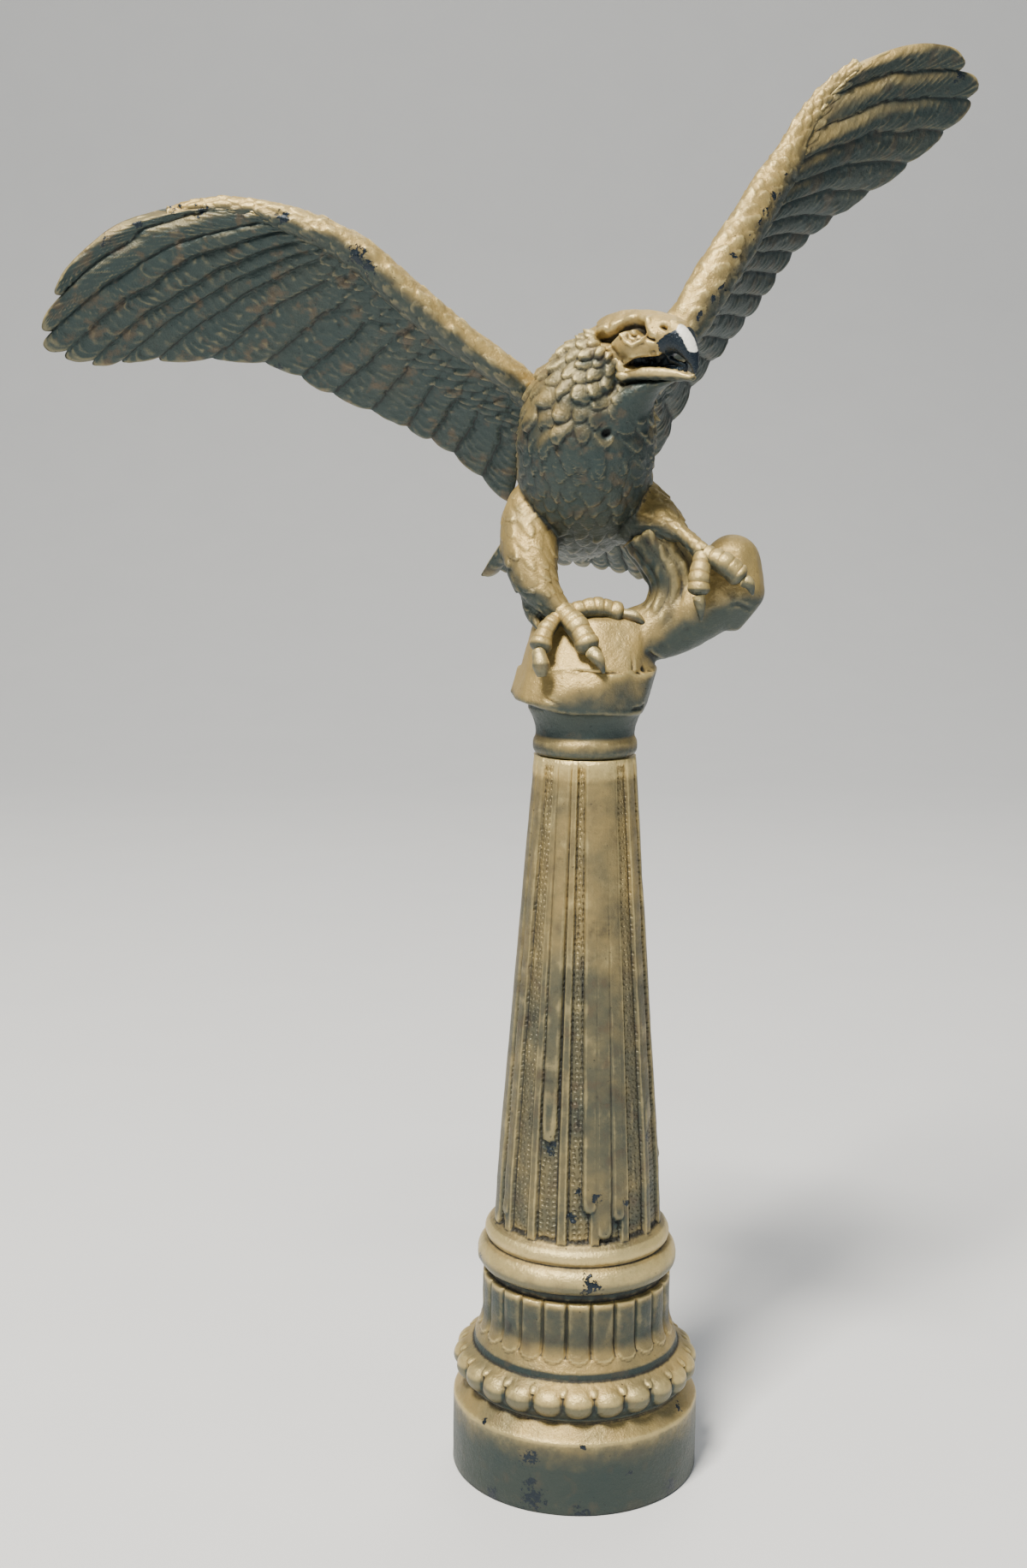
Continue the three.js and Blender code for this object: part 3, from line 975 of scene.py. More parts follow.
    def flutes(self, angle: Array, z: Array, radius: Array) -> tuple[Array, Array]:
        """Sunk panels between raised strips, partly filled by runs of paint.

        Args:
            angle: degrees from the front.
            z: height, mm.
            radius: the plain shaft's radius, mm.

        Returns:
            The relief, and where the sunk panels show their pits.
        """
        pitch = 360 / self.flute_count
        half = self.fillet_angle / 2
        low, high = self.flute_zone
        place = (angle - self.first_fillet) / pitch + 0.5
        off = np.abs(place - np.floor(place) - 0.5) * pitch
        panel = ease(half - 0.6, half + 1.1, off)
        wobble = 0.12 * lumps(np.stack([angle * 0.35, z * 0.12, 0 * z], -1), 1.0, 5)
        shaft = ease(low + 0.1, low + 1.5, z) * ease(high - 0.4, high - 2.0, z)
        edge = np.exp(-(((off - half - 1.2) / 0.8) ** 2)) * 0.28
        relief = (-(self.flute_depth + wobble) * panel - edge) * shaft
        covered = np.zeros_like(relief)
        for run in self.runs:
            height = run.relief(angle, z, radius)
            filled = np.maximum(relief, height - self.flute_depth)
            relief = np.where(height > 0, filled, relief)
            covered = np.maximum(covered, ease(0.0, 0.3, height))
        relief = np.where(shaft > 0, relief * ease(low, low + 0.6, z), 0)
        return relief, panel * shaft * (1 - covered)

    def build(self, finish: GiltPaint) -> bpy.types.Object:
        """Makes the column from its outline turned about the axis, radius(angle, height) + relief -
        dents.

        Args:
            finish: the paint.

        Returns:
            The piece.
        """
        profile = self.profile()
        turns = np.linspace(-180, 180, self.around, endpoint=False)
        radius, angle = np.meshgrid(profile[0], turns, indexing="ij")
        z = np.repeat(profile[1][:, None], self.around, axis=1)
        panels, pitted = self.flutes(angle, z, radius)
        relief = self.beads(angle, z) + self.reeds(angle, z) + panels
        out = np.stack([np.sin(np.radians(angle)), -np.cos(np.radians(angle)), 0 * z], -1)
        grid = out * (radius + relief)[..., None] + np.stack([0 * z, 0 * z, z], -1)
        dent = np.abs(0.22 * lumps(grid, 9, 2) + 0.1 * lumps(grid, 3.2, 3) * (z > 24))
        dent *= ease(0.0, 1.0, z) * ease(204.9, 203, z)
        grid = grid - out * dent[..., None]

        surface = shell(grid).mark_hollows(0.06, 0.35)
        # tarnish and painted shade on the upright sides, more mid-shaft, less on the band
        side = 0.45 + 0.25 * lumps(grid, 22, 8) + 0.2 * (z > 71) * (z < 150)
        side *= 1 - 0.5 * ease(24, 20, z)
        ends = np.zeros(2)  # the middles of the underside and of the top, which no ring holds
        shares = {"bare": self.bareness(angle, z, radius), "pitted": pitted, "tarnish": side}
        for name, share in shares.items():
            surface.marks[name] = np.concatenate([np.clip(share, 0, 1).ravel(), ends])
        self.soil(surface)
        material = finish.mix("gilt_paint_column", pits=True)
        return cast("column_gilt", "column", surface, material, self.unrolled(surface))

    def bareness(self, angle: Array, z: Array, radius: Array) -> Array:
        """How bare of paint each place is: 0.86 in the middle of a chip, less with distance / size.

        Args:
            angle: degrees from the front.
            z: height, mm.
            radius: the plain column's radius, mm.

        Returns:
            The share, below 0 far from every chip.
        """
        bare = np.zeros(z.shape)
        for at, height, size in self.chips:
            x = np.radians((angle - at + 180) % 360 - 180) * radius
            bare = np.maximum(bare, 0.86 - 0.45 * np.hypot(x, z - height) / size)
        return bare

    def soil(self, surface: Surface) -> None:
        """Adds painted shade, dark teal like a reflection of blue surroundings, on the lower shaft,
        the drum and the riser, and takes the rubbing off the band.

        Args:
            surface: the column, whose marks "under" and "ridge" are changed.
        """
        height = surface.points[:, 2]
        # painted shade, stronger low on the column, and a band of painted shadow on the riser
        low_shade = 1 + 0.3 * ease(64, 52, height) + 0.1 * ease(140, 90, height)
        riser_shade = 0.9 * np.exp(-(((height - self.riser_z) / 1.1) ** 4))
        under = np.maximum(surface.marks["under"] * low_shade, riser_shade)
        surface.marks["under"] = np.clip(under, 0, 1)
        surface.marks["ridge"] *= 1 - 0.85 * ease(18.5, 16.5, height)

    def unrolled(self, surface: Surface) -> Array:
        """Each face corner's place on the unrolled shaft: angle * 20 mm across, and its height.

        A face that closes the ring has corners in the first and the last column. Its first-column
        corners are taken one turn on, so that the pattern isn't squeezed back across it.

        Args:
            surface: the column, with its points ring by ring.

        Returns:
            The places, (faces * corners, 2), mm.
        """
        count, radius = self.around, 20
        corners = np.concatenate([surface.quads.ravel(), surface.tris.ravel()])
        column = corners % count
        fours, threes = len(surface.quads), len(surface.tris)
        sides = np.repeat([4, 3], [fours, threes])
        face = np.repeat(np.arange(fours + threes), sides)
        highest = np.zeros(fours + threes, int)
        np.maximum.at(highest, face, column)
        column = np.where((highest[face] == count - 1) & (column == 0), count, column)
        return np.stack([column / count * 2 * np.pi * radius, surface.points[corners, 2]], -1)


# ----------------------------------------------------------------------------------------- feathers


@dataclass
class FeatherSheet:
    """Feathers side by side in one thin casting.

    Columns of a grid run across the feathers and rows along them. notch, thick and scaly give
    values at equal steps: how far the gaps between feathers are cut back, the sheet's thickness
    from root to tip, and how far the small scales by the arm reach.
    """

    count: int = 16
    per_feather: int = 18
    rows: int = 112
    notch: list[float] = field(default_factory=lambda: [5, 3.4, 1.8, 1.6, 1.6])
    thick: list[float] = field(default_factory=lambda: [2.6, 1.9, 1.2, 0.8, 0.45])
    scaly: list[float] = field(default_factory=lambda: [5, 8, 15, 18, 16])
    scale_width: float = 4.6
    scale_pitch: float = 4.2
    ripple_pitch: float = 2.7
    rim: float = 0.035
    seed: int = 1

    def place(self, t: Array) -> tuple[Array, Array, Array, Array]:
        """Where the columns run.

        Args:
            t: places across the sheet, 0 to 1.

        Returns:
            Each column's root, its tip, its sideways bow and the direction to the next column.
        """
        raise NotImplementedError

    def relief(self, t: Array, c: Array, reach: Array, along: Array, seed: int) -> Array:
        """The feathers' height: rounded vanes with wavy cross ripples, under rows of small scales
        by the arm.

        Args:
            t: place across the sheet, 0 to 1.
            c: place along the feather, 0 root to 1 tip.
            reach: the feather's length, mm.
            along: distance across the sheet from its first column, mm.
            seed: varies one face from the other.

        Returns:
            The height over the sheet, mm.
        """
        spot = np.stack(np.broadcast_arrays(along, c * reach, 0 * t + 17.0 * seed), -1)
        broad, small = lumps(spot, 8.0, seed), lumps(spot, 2.4, seed + 3)
        sway = (0.2 * broad + 0.07 * small) * np.sin(np.pi * np.clip(c * 1.1, 0, 1))
        at = t * self.count + sway
        x = 2 * (at - np.floor(at)) - 1

        phase = (c * reach + 0.7 * x * x + 2.0 * broad + 0.9 * small) / self.ripple_pitch
        strength = (1 - x**4) * (0.5 + 0.5 * lumps(spot, 4.0, seed + 8))
        ripple = 0.15 * np.sin(2 * np.pi * phase) * strength
        vane = 0.8 * (1 - x * x) + 0.24 * x + 0.2 * small
        groove = -0.24 * np.exp(-(((1 - np.abs(x)) / 0.17) ** 2)) * (0.7 + 0.5 * small)
        height = vane + groove + ripple

        rows = c * reach + 0.9 * broad + 0.5 * small
        many = 100  # the sheet is taken as part of a ring of so many scales
        around = (along + 1.2 * broad) / (self.scale_width * many)
        scales = tongues(rows + 2 * self.scale_pitch, around, many, self.scale_pitch, seed + 20)
        limit = np.interp(t * 4, np.arange(5), self.scaly)
        share = ease(limit + 3.0, limit - 1.0, rows + 1.5 * small)
        return height * (1 - share) + share * (0.25 + scales + 0.4 * height)

    def build(self) -> Surface:
        """The sheet, with a face on each side.

        Each column is a quadratic curve from its root to its tip. The tip is pulled back at the
        gaps between feathers, as |x|^3.2, so that each feather ends round.

        Returns:
            The closed surface.
        """
        t = np.linspace(0, 1, self.count * self.per_feather + 1)
        root, tip, bow, ahead = self.place(t)
        chord = tip - root
        reach = np.linalg.norm(chord, axis=1)
        normal = unit(np.cross(chord, ahead))
        at = t * self.count
        x = 2 * (at - np.floor(at)) - 1
        gap = np.interp(t * 4, np.arange(5), self.notch) * np.abs(x) ** 3.2
        luck = chance(np.floor(np.clip(at, 0, self.count - 1)), seed=self.seed)
        back = gap + 0.9 * luck * (1 - np.abs(x) ** 4)
        end = tip - chord * (back / reach)[:, None]

        c = np.linspace(0, 1, self.rows)[None, :, None]
        a, b, d = root[:, None], ((root + tip) / 2 + bow)[:, None], end[:, None]
        centre = (1 - c) ** 2 * a + 2 * c * (1 - c) * b + c * c * d
        tt, cc = np.broadcast_arrays(t[:, None], c[..., 0])
        side = (1 - np.minimum(t, 1 - t) * self.count * 2.2).clip(0, 1)
        edge = np.sqrt(1 - side**2)[:, None]
        round_tip = np.sqrt(1 - ((cc - 1 + self.rim) / self.rim).clip(0, 1) ** 2)
        body = np.interp(cc * 4, np.arange(5), self.thick)
        along = self.run(root)[:, None] * (1 - cc) + self.run(tip)[:, None] * cc
        faces = []
        for way in (1, -1):
            height = self.relief(tt, cc, reach[:, None], along, self.seed + way)
            out = (body * 0.6 + np.maximum(height, -body * 0.5)) * edge * round_tip
            faces.append(centre + normal[:, None] * (way * out)[..., None])
        return shell(np.concatenate([faces[0], faces[1][:, ::-1]], axis=1), flat_ends=True)

    def run(self, line: Array) -> Array:
        """Each point's distance along the line from its start, mm."""
        return np.concatenate([[0.0], np.cumsum(np.linalg.norm(np.diff(line, axis=0), axis=1))])


@dataclass
class WingSheet(FeatherSheet):
    """A wing's flight feathers, their roots on the arm and their tips along the trailing edge."""

    arm: list[Point] = field(default_factory=list)
    tips: list[Point] = field(default_factory=list)
    bow: Point = (0, 0, 1)
    bend: list[float] = field(default_factory=list)
    root_place: list[float] = field(default_factory=list)

    def place(self, t: Array) -> tuple[Array, Array, Array, Array]:
        """Roots on the arm at root_place(t), tips on the smooth curve through tips, bowed by
        bend(t) * bow.

        Args:
            t: places across the sheet, 0 to 1.

        Returns:
            Each column's root, its tip, its sideways bow and the direction to the next column.
        """
        step = 0.01
        before, after = np.maximum(t - step, 0), np.minimum(t + step, 1)
        knots = np.linspace(0, 1, len(self.bend))
        root = spline(self.arm, np.interp(t, knots, self.root_place))
        bow = np.asarray(self.bow) * np.interp(t, knots, self.bend)[:, None]
        ahead = unit(spline(self.tips, after) - spline(self.tips, before))
        return root, spline(self.tips, t), bow, ahead


@dataclass
class TailSheet(FeatherSheet):
    """The tail: a fan of feathers whose outer ones hang lower."""

    def place(self, t: Array) -> tuple[Array, Array, Array, Array]:
        """Roots on a short arc at the rump and tips on a wide one, both sagging as the square of s.

        Args:
            t: places across the tail, 0 to 1; s runs from -1 to 1 with it.

        Returns:
            Each column's root, its tip, its sideways bow and the direction to the next column.
        """
        s = 2 * t - 1
        o = 0 * s
        root = np.stack([-3 + 13.5 * s, 24 + 3 * s * s, 267 + 2.5 * s * s], -1)
        tip = np.stack([-5.5 + 25 * s, 54 - 7 * s * s, 254 - 4.4 * s * s], -1)
        ahead = unit(np.stack([o + 1, -0.5 * s, -0.35 * s], -1))
        return root, tip, np.stack([o, o, 1 + s * s], -1), ahead


@dataclass
class Wing:
    """A wing: a scaly arm along its front edge and the sheet of feathers that hangs from it."""

    name: str
    node: str
    arm: list[Point]
    arm_depth: list[float]
    tips: list[Point]
    bow: Point
    bend: list[float]
    root_place: list[float]
    shade: float
    chips: list[Spot]
    seed: int = 1
    arm_width: list[float] = field(default_factory=lambda: [5.6, 5.2, 5, 4.8, 4.4, 3.8, 3, 2.4, 2])
    arm_drop: float = 0.8

    def arm_bar(self) -> Surface:
        """The arm as an oval sweep, with rows of small feathers that lie towards the wing tip.

        Returns:
            The closed surface.
        """
        line = [(x, y, z - self.arm_drop) for x, y, z in self.arm]
        deep = [d - 0.3 + self.arm_drop for d in self.arm_depth]
        bar = Sweep(line, [w - 0.3 for w in self.arm_width], deep, (0, 0, -1))
        along, around = 250, 64
        run = np.linspace(0, bar.length(), along)[:, None]
        turn = np.linspace(0, 1, around, endpoint=False)[None]
        spot = np.stack(np.broadcast_arrays(run / 6, turn * 5, 0 * run), -1)
        wavy_run = run + 1.6 * lumps(spot, 1, 4)
        wavy_turn = turn + 0.03 * lumps(spot, 1, 6)
        feathers = 0.62 * tongues(wavy_run, wavy_turn, 7, 4.0, self.seed)
        rough = 0.26 * lumps(spot * 2.2, 1, 9) + 0.08 * lumps(spot * 6, 1, 10)
        surface = shell(bar.grid(along, around, feathers + rough - 0.2))
        # little tarnish and painted shade on the arm, which stays bright gold
        surface.marks["tarnish"] = np.full(len(surface.points), 0.15)
        return surface

    def build(self, finish: bpy.types.Material) -> bpy.types.Object:
        """Makes the wing and marks its chips, 0.86 in the middle of each and less with distance /
        size.

        Args:
            finish: the paint.

        Returns:
            The piece.
        """
        sheet = WingSheet(
            arm=self.arm,
            tips=self.tips,
            bow=self.bow,
            bend=self.bend,
            root_place=self.root_place,
            seed=self.seed,
        ).build()
        # tarnish and painted shade on the sheet of feathers under the arm
        sheet.marks["tarnish"] = np.full(len(sheet.points), self.shade)
        whole = Surface.joined([sheet, self.arm_bar()]).mark_hollows(0.1, 0.4)
        bare = np.zeros(len(whole.points))
        for at, size in self.chips:
            away = np.linalg.norm(whole.points - np.array(at), axis=1)
            bare = np.maximum(bare, 0.86 - 0.45 * away / size)
        whole.marks["bare"] = np.clip(bare, 0, 1)
        return cast(self.name, self.node, whole, finish)


# -------------------------------------------------------------------------------------------- eagle


@dataclass
class Head:
    """The head, laid out in its own axes: forward along the beak, out to the bird's right, and
    up."""

    centre: Point = (10.2, -18.4, 313.6)
    turn: float = -43.5
    eye: tuple[float, float] = (5.4, 2.9)
    eye_size: float = 1.4
    socket_lines: int = 4
    voxel: float = 0.27

    def world(self, local: list[Point]) -> list[Point]:
        """Places points on the body: turned about the upright axis, then moved to the head's
        centre.

        Args:
            local: points in the head's own axes.

        Returns:
            The same points in the part's axes.
        """
        p = np.asarray(local, float) * (1, -1, 1)
        c, s = np.cos(np.radians(self.turn)), np.sin(np.radians(self.turn))
        out = np.stack([p[:, 0] * c - p[:, 1] * s, p[:, 0] * s + p[:, 1] * c, p[:, 2]], -1)
        return [tuple(q) for q in out + self.centre]

    def local(self, points: Array) -> Array:
        """The way back from world.

        Args:
            points: (n, 3) in the part's axes.

        Returns:
            The same points in the head's own axes.
        """
        p = points - np.asarray(self.centre)
        c, s = np.cos(np.radians(self.turn)), np.sin(np.radians(self.turn))
        return np.stack([p[:, 0] * c + p[:, 1] * s, p[:, 0] * s - p[:, 1] * c, p[:, 2]], -1)

    def sweep(self, local: list[Point], wide: list[float], deep: list[float]) -> Surface:
        """A closed sweep given in the head's own axes."""
        return Sweep(self.world(local), wide, deep).tube(48, 32)

    def parts(self) -> list[Surface]:
        """The forms that are fused into the head.

        Returns:
            The skull, the hooked upper beak, the thin lower jaw, the floor of the mouth, and on
            each side a brow and a cheek.
        """
        skull = [(-12.5, 0, -3.6), (-5, 0, 0.2), (2.5, 0, 1.2), (9, 0, 1.4), (13.5, 0, 0)]
        beak = [(8.5, 0, 1.9), (12.6, 0, 1.5), (16, 0, 0)]
        beak += [(18.3, 0, -2.8), (19.7, 0, -5.6), (20, 0, -7.9)]
        jaw = [(-1, 0, -8.3), (8, 0, -8.1), (14, 0, -8.4), (19.6, 0, -8.9)]
        floor = [(0, 0, -5.4), (5, 0, -5.5), (10, 0, -5.6), (17.4, 0, -6.4)]
        parts = [
            self.sweep(skull, [6.4, 7.2, 7.0, 5.6, 3.8], [6.2, 7.8, 7.4, 6.1, 4.6]),
            self.sweep(beak, [5.0, 4.4, 3.5, 2.4, 1.2, 0.35], [5.7, 4.9, 3.6, 2.3, 1.1, 0.4]),
            self.sweep(jaw, [5.8, 4.5, 3.2, 1.2], [2.0, 1.7, 1.3, 0.7]),
            self.sweep(floor, [6.2, 3.9, 2.4, 0.8], [3.6, 3.2, 2.6, 1.2]),
        ]
        for side in (-1, 1):
            brow = [(-8.2, 5.4, 1.6), (-4.8, 5.5, 3.3), (-1.4, 5.0, 4.7), (1.8, 4.0, 5.8)]
            brow = [(f, r * side, u) for f, r, u in brow]
            parts.append(self.sweep(brow, [1.0, 1.4, 1.2, 0.6], [0.9, 1.3, 1.0, 0.5]))
            cheek = [(-2.0, 3.4, -1.8), (1.2, 3.4, -1.4), (4.6, 3.2, -1.2), (8.8, 2.6, -1.4)]
            cheek = [(f, r * side, u) for f, r, u in cheek]
            parts.append(self.sweep(cheek, [2.6, 4.2, 4.5, 2.2], [2.4, 4.0, 4.2, 2.4]))
        return parts

    def build(self) -> Surface:
        """The head: its forms fused into one skin, then its lines and eyes pushed in and out from
        the sides, and feathers on the nape.

        Returns:
            The surface, with its marks.
        """
        skin = fused(self.parts(), self.voxel, 4)
        local = self.local(skin.points)
        beside = ease(0.6, 2.2, np.abs(local[:, 1]))
        flat = local * (1, 0, 1)
        lines = [stroke.relief(flat) for stroke in self.strokes()]
        from_eye = np.hypot(flat[:, 0] - self.eye[0], flat[:, 2] - self.eye[1]) / self.eye_size
        eyeball = 1.6 * np.sqrt(np.clip(1 - from_eye, 0, 1))
        uneven = 0.45 * lumps(flat, 2.6, 61) * ease(1.0, 3.0, local[:, 2])
        skin.pushed(beside * (np.min(lines, axis=0) + np.max(lines, axis=0) + eyeball + uneven))

        f, u = local[:, 0], local[:, 2]
        nape = ease(-1.5, -6.0, f + 0.35 * np.abs(u + 1)) * ease(-13.5, -7.0, u)
        turn = np.arctan2(local[:, 1], u + 3) / (2 * np.pi)
        feathers = nape * tongues(14 - f, turn, 9, 4.4, 21)
        skin.pushed(feathers + 0.12 * lumps(skin.points, 1.7, 22))

        skin.mark_hollows(0.045, 0.3)
        # soot colour held in the eye sockets: a painted shadow under the brow
        sockets = 1 + 0.8 * beside * np.min(lines[: self.socket_lines], axis=0)
        self.paint(skin, flat, sockets)
        return skin

    def paint(self, skin: Surface, flat: Array, sockets: Array) -> None:
        """Marks the bare beak, the mouth painted dark as shade, the lip painted bright partly as a
        highlight, a rubbed patch painted near-white as a highlight, soot colour in the eye sockets
        as painted shadow, and painted shade under the jaw.

        Args:
            skin: the head, whose marks are changed.
            flat: its points in the head's own axes before the last relief, on the middle plane.
            sockets: a limit for the mark "ridge", low in the sockets, where a shadow is painted.
        """
        f, u = flat[:, 0], flat[:, 2]
        edge = 11.2 + 1.7 * np.maximum(u - 0.2, 0)  # the beak is bare in front of this line
        beak = np.where(u > -7.9, 0.5 + 0.5 * (f - edge), 0)
        gape = [(3.4, 0, -5.6), (6.6, 0, -5.0), (11.6, 0, -4.9), (15.6, 0, -5.4), (18.6, 0, -6.7)]
        # the dark mouth: painted shade, marked as bare metal
        mouth = Stroke(gape, [0.5, 1.1, 1.6, 1.3, 0.6], 1.2, 4.0).relief(flat)
        rim = [(0.4, 0, -7.2), (3.4, 0, -6.8), (9.5, 0, -7.0), (19.0, 0, -8.2)]
        lip = Stroke(rim, 0.7, 1.0).relief(flat)
        hook = self.world([(16.6, 1.6, 2.8), (18.8, 1.6, 1.0), (20.2, 1.0, -1.8)])
        # a rubbed patch on the hook, painted near-white as a highlight
        rubbed_highlight = Stroke(hook, 1.8, 1.0).relief(skin.points)
        skin.marks["bare"] = np.clip(np.maximum(beak, mouth), 0, 1) * (1 - lip)
        skin.marks["polish"] = rubbed_highlight * ease(-3.6, -2.2, u)
        # the lip raised to cream, partly a painted highlight; the sockets held low, a painted
        # shadow
        skin.marks["ridge"] = np.clip(np.minimum(skin.marks["ridge"] + lip, sockets), -1, 1)
        # painted shade under the jaw
        skin.marks["under"] *= 0.5 + 0.5 * ease(-7.5, -9.5, u)
        skin.marks["tarnish"] = 0.12 + 0.5 * ease(-9, -13, u)

    def strokes(self) -> list[Stroke]:
        """Lines of the face, the same on both sides, on the plane (forward, up) through the head's
        middle.

        The first socket_lines of them are the arch of the eye socket, which is also painted dark
        as shadow.

        Returns:
            The grooves and the ridges.
        """
        arch = [(-0.6, 2.6), (1.5, 4.3), (4.1, 4.8), (6.4, 4.0), (7.6, 2.2)]
        gape = [(1.8, -5.7), (6.6, -5.0), (11.6, -4.9), (15.6, -5.4), (18.6, -6.7)]
        lip = [(0.2, -7.3), (3.4, -6.8), (9.5, -7.0), (15.0, -7.7), (19.4, -8.3)]
        lines = [
            ([(-6.8, 1.0), (-3.4, 0.7)], 1.4, -2.8, 3),
            ([(-3.4, 0.8), (-0.6, 2.6)], [1.3, 1.0], -2.8, 3),
            (arch, [1.0, 1.25, 1.45, 1.25, 0.8], -3.2, 3),
            ([(7.6, 2.2), (9.0, 0.8), (10.4, 0.4)], [0.8, 0.5, 0.4], -1.1, 2),
            # creases of the cheek, the nostril, the mouth and the ear
            ([(-9.8, -2.4), (-6.6, -1.2), (-2.0, -0.4)], [0.7, 0.5, 0.4], -0.9, 2),
            ([(-2.0, -1.0), (0.4, -3.6), (5.4, -4.2), (9.8, -2.6)], 0.7, -0.5, 2),
            ([(12.3, 3.9), (13.2, 3.4)], 0.5, -1.3, 3),
            (gape, [0.35, 0.95, 1.5, 1.15, 0.4], -3.0, 4),
            ([(1.0, -9.6), (8.0, -10.0), (17.0, -10.0)], 0.5, -0.5, 2),
            ([(-5.6, -1.6), (-4.4, -4.6), (-2.0, -7.6), (0.2, -10.2)], 0.8, -0.2, 2),
            ([(-7.4, -5.7)], 1.0, -1.3, 3),
            # lids, brow, the beak's root and the lips, which stand proud
            ([(1.4, 2.0), (3.6, 0.1), (5.6, -0.9), (7.2, 0.2), (8.2, 1.9)], 0.5, 0.7, 2),
            ([(3.8, 2.2), (4.8, 0.9), (6.0, 0.5)], 0.35, 0.5, 2),
            ([(-8.6, -0.6), (-6.4, -0.3), (-4.4, -0.8)], 0.55, 0.55, 2),
            ([(-6.2, 3.6), (-4.2, 3.9)], 1.3, 0.6, 2),
            ([(-1.8, 4.9)], 1.2, 0.5, 2),
            ([(8.2, 5.4), (9.2, 3.2), (10.8, 1.6)], 0.9, 0.5, 2),
            ([(12.0, 5.4), (13.8, 5.0)], 0.8, 0.3, 2),
            ([(2.0, -4.4), (6.6, -3.3), (10.4, -2.8)], 0.6, 0.5, 2),
            (lip, [0.5, 0.75, 0.7, 0.6, 0.4], 0.9, 2),
            ([(-1.2, -4.6), (0.2, -6.6), (0.4, -8.6)], 1.6, 0.8, 2),
        ]
        return [Stroke([(f, 0, u) for f, u in path], *shape) for path, *shape in lines]


@dataclass
class Toe:
    """A scaly toe along its joints, with a knuckle at each, ending in a curved claw.

    thick is the radius at its root; ball, knuckle and the claw's sizes are shares of it.
    """

    joints: list[Point]
    thick: float
    claw: Point
    ball: float = 0.25
    claw_size: tuple[float, float, float, float] = (0.64, 0.6, 0.42, 0.12)
    knuckle: float = 0.16
    plate_pitch: float = 2.5

    def build(self) -> Surface:
        """The toe and its claw, two closed sweeps.

        The toe's radius swells at each knuckle by exp(-(distance/width)^2), has raised plates
        across its upper side, 1 - x^4 high, and closes in a half-round end. The claw is a tapering
        sweep from it.

        Returns:
            Both in one surface.
        """
        sizes = [self.thick, self.thick * 0.96, self.thick * 0.92]
        path = Sweep(self.joints, sizes, sizes)
        length = path.length()
        along, around = 84, 36
        t = np.linspace(0, 1, along)[:, None]
        a = np.linspace(0, 2 * np.pi, around, endpoint=False)[None]
        width = 2.6 / length
        inner = np.linspace(0, 1, len(self.joints))[1:-1]
        swell = sum(self.knuckle * self.thick * np.exp(-(((t - k) / width) ** 2)) for k in inner)
        swell = swell + self.ball * self.thick * np.exp(-(((t - 0.9) / width) ** 2))
        x = 2 * ((length * t / self.plate_pitch) % 1.0) - 1
        plates = 0.34 * (0.4 - x**4) * ease(-0.5, 0.5, np.sin(a)) * ease(0.9, 0.8, t)
        size = self.thick * (1 - 0.08 * t)
        cap = 0.85 * self.thick / length
        round_end = np.sqrt(1 - ((t - 1 + cap).clip(0, 1) / cap) ** 2)
        toe = shell(path.grid(along, around, (size + swell + plates - 0.1) * round_end - size))

        end, tip = np.asarray(self.joints[-1]), np.asarray(self.claw)
        bend = end + (tip - end) * 0.45 + np.array([0, -0.6, 1.0])
        beyond = (bend + tip) / 2 + np.array([0, -0.3, 0.4])
        sizes = [self.thick * k for k in self.claw_size]
        claw = Sweep([tuple(end), tuple(bend), tuple(beyond), self.claw], sizes, sizes).tube(32, 24)
        toe.marks["tarnish"] = np.full(len(toe.points), 0.05)
        claw.marks["tarnish"] = np.full(len(claw.points), 0.9)
        return Surface.joined([toe, claw])


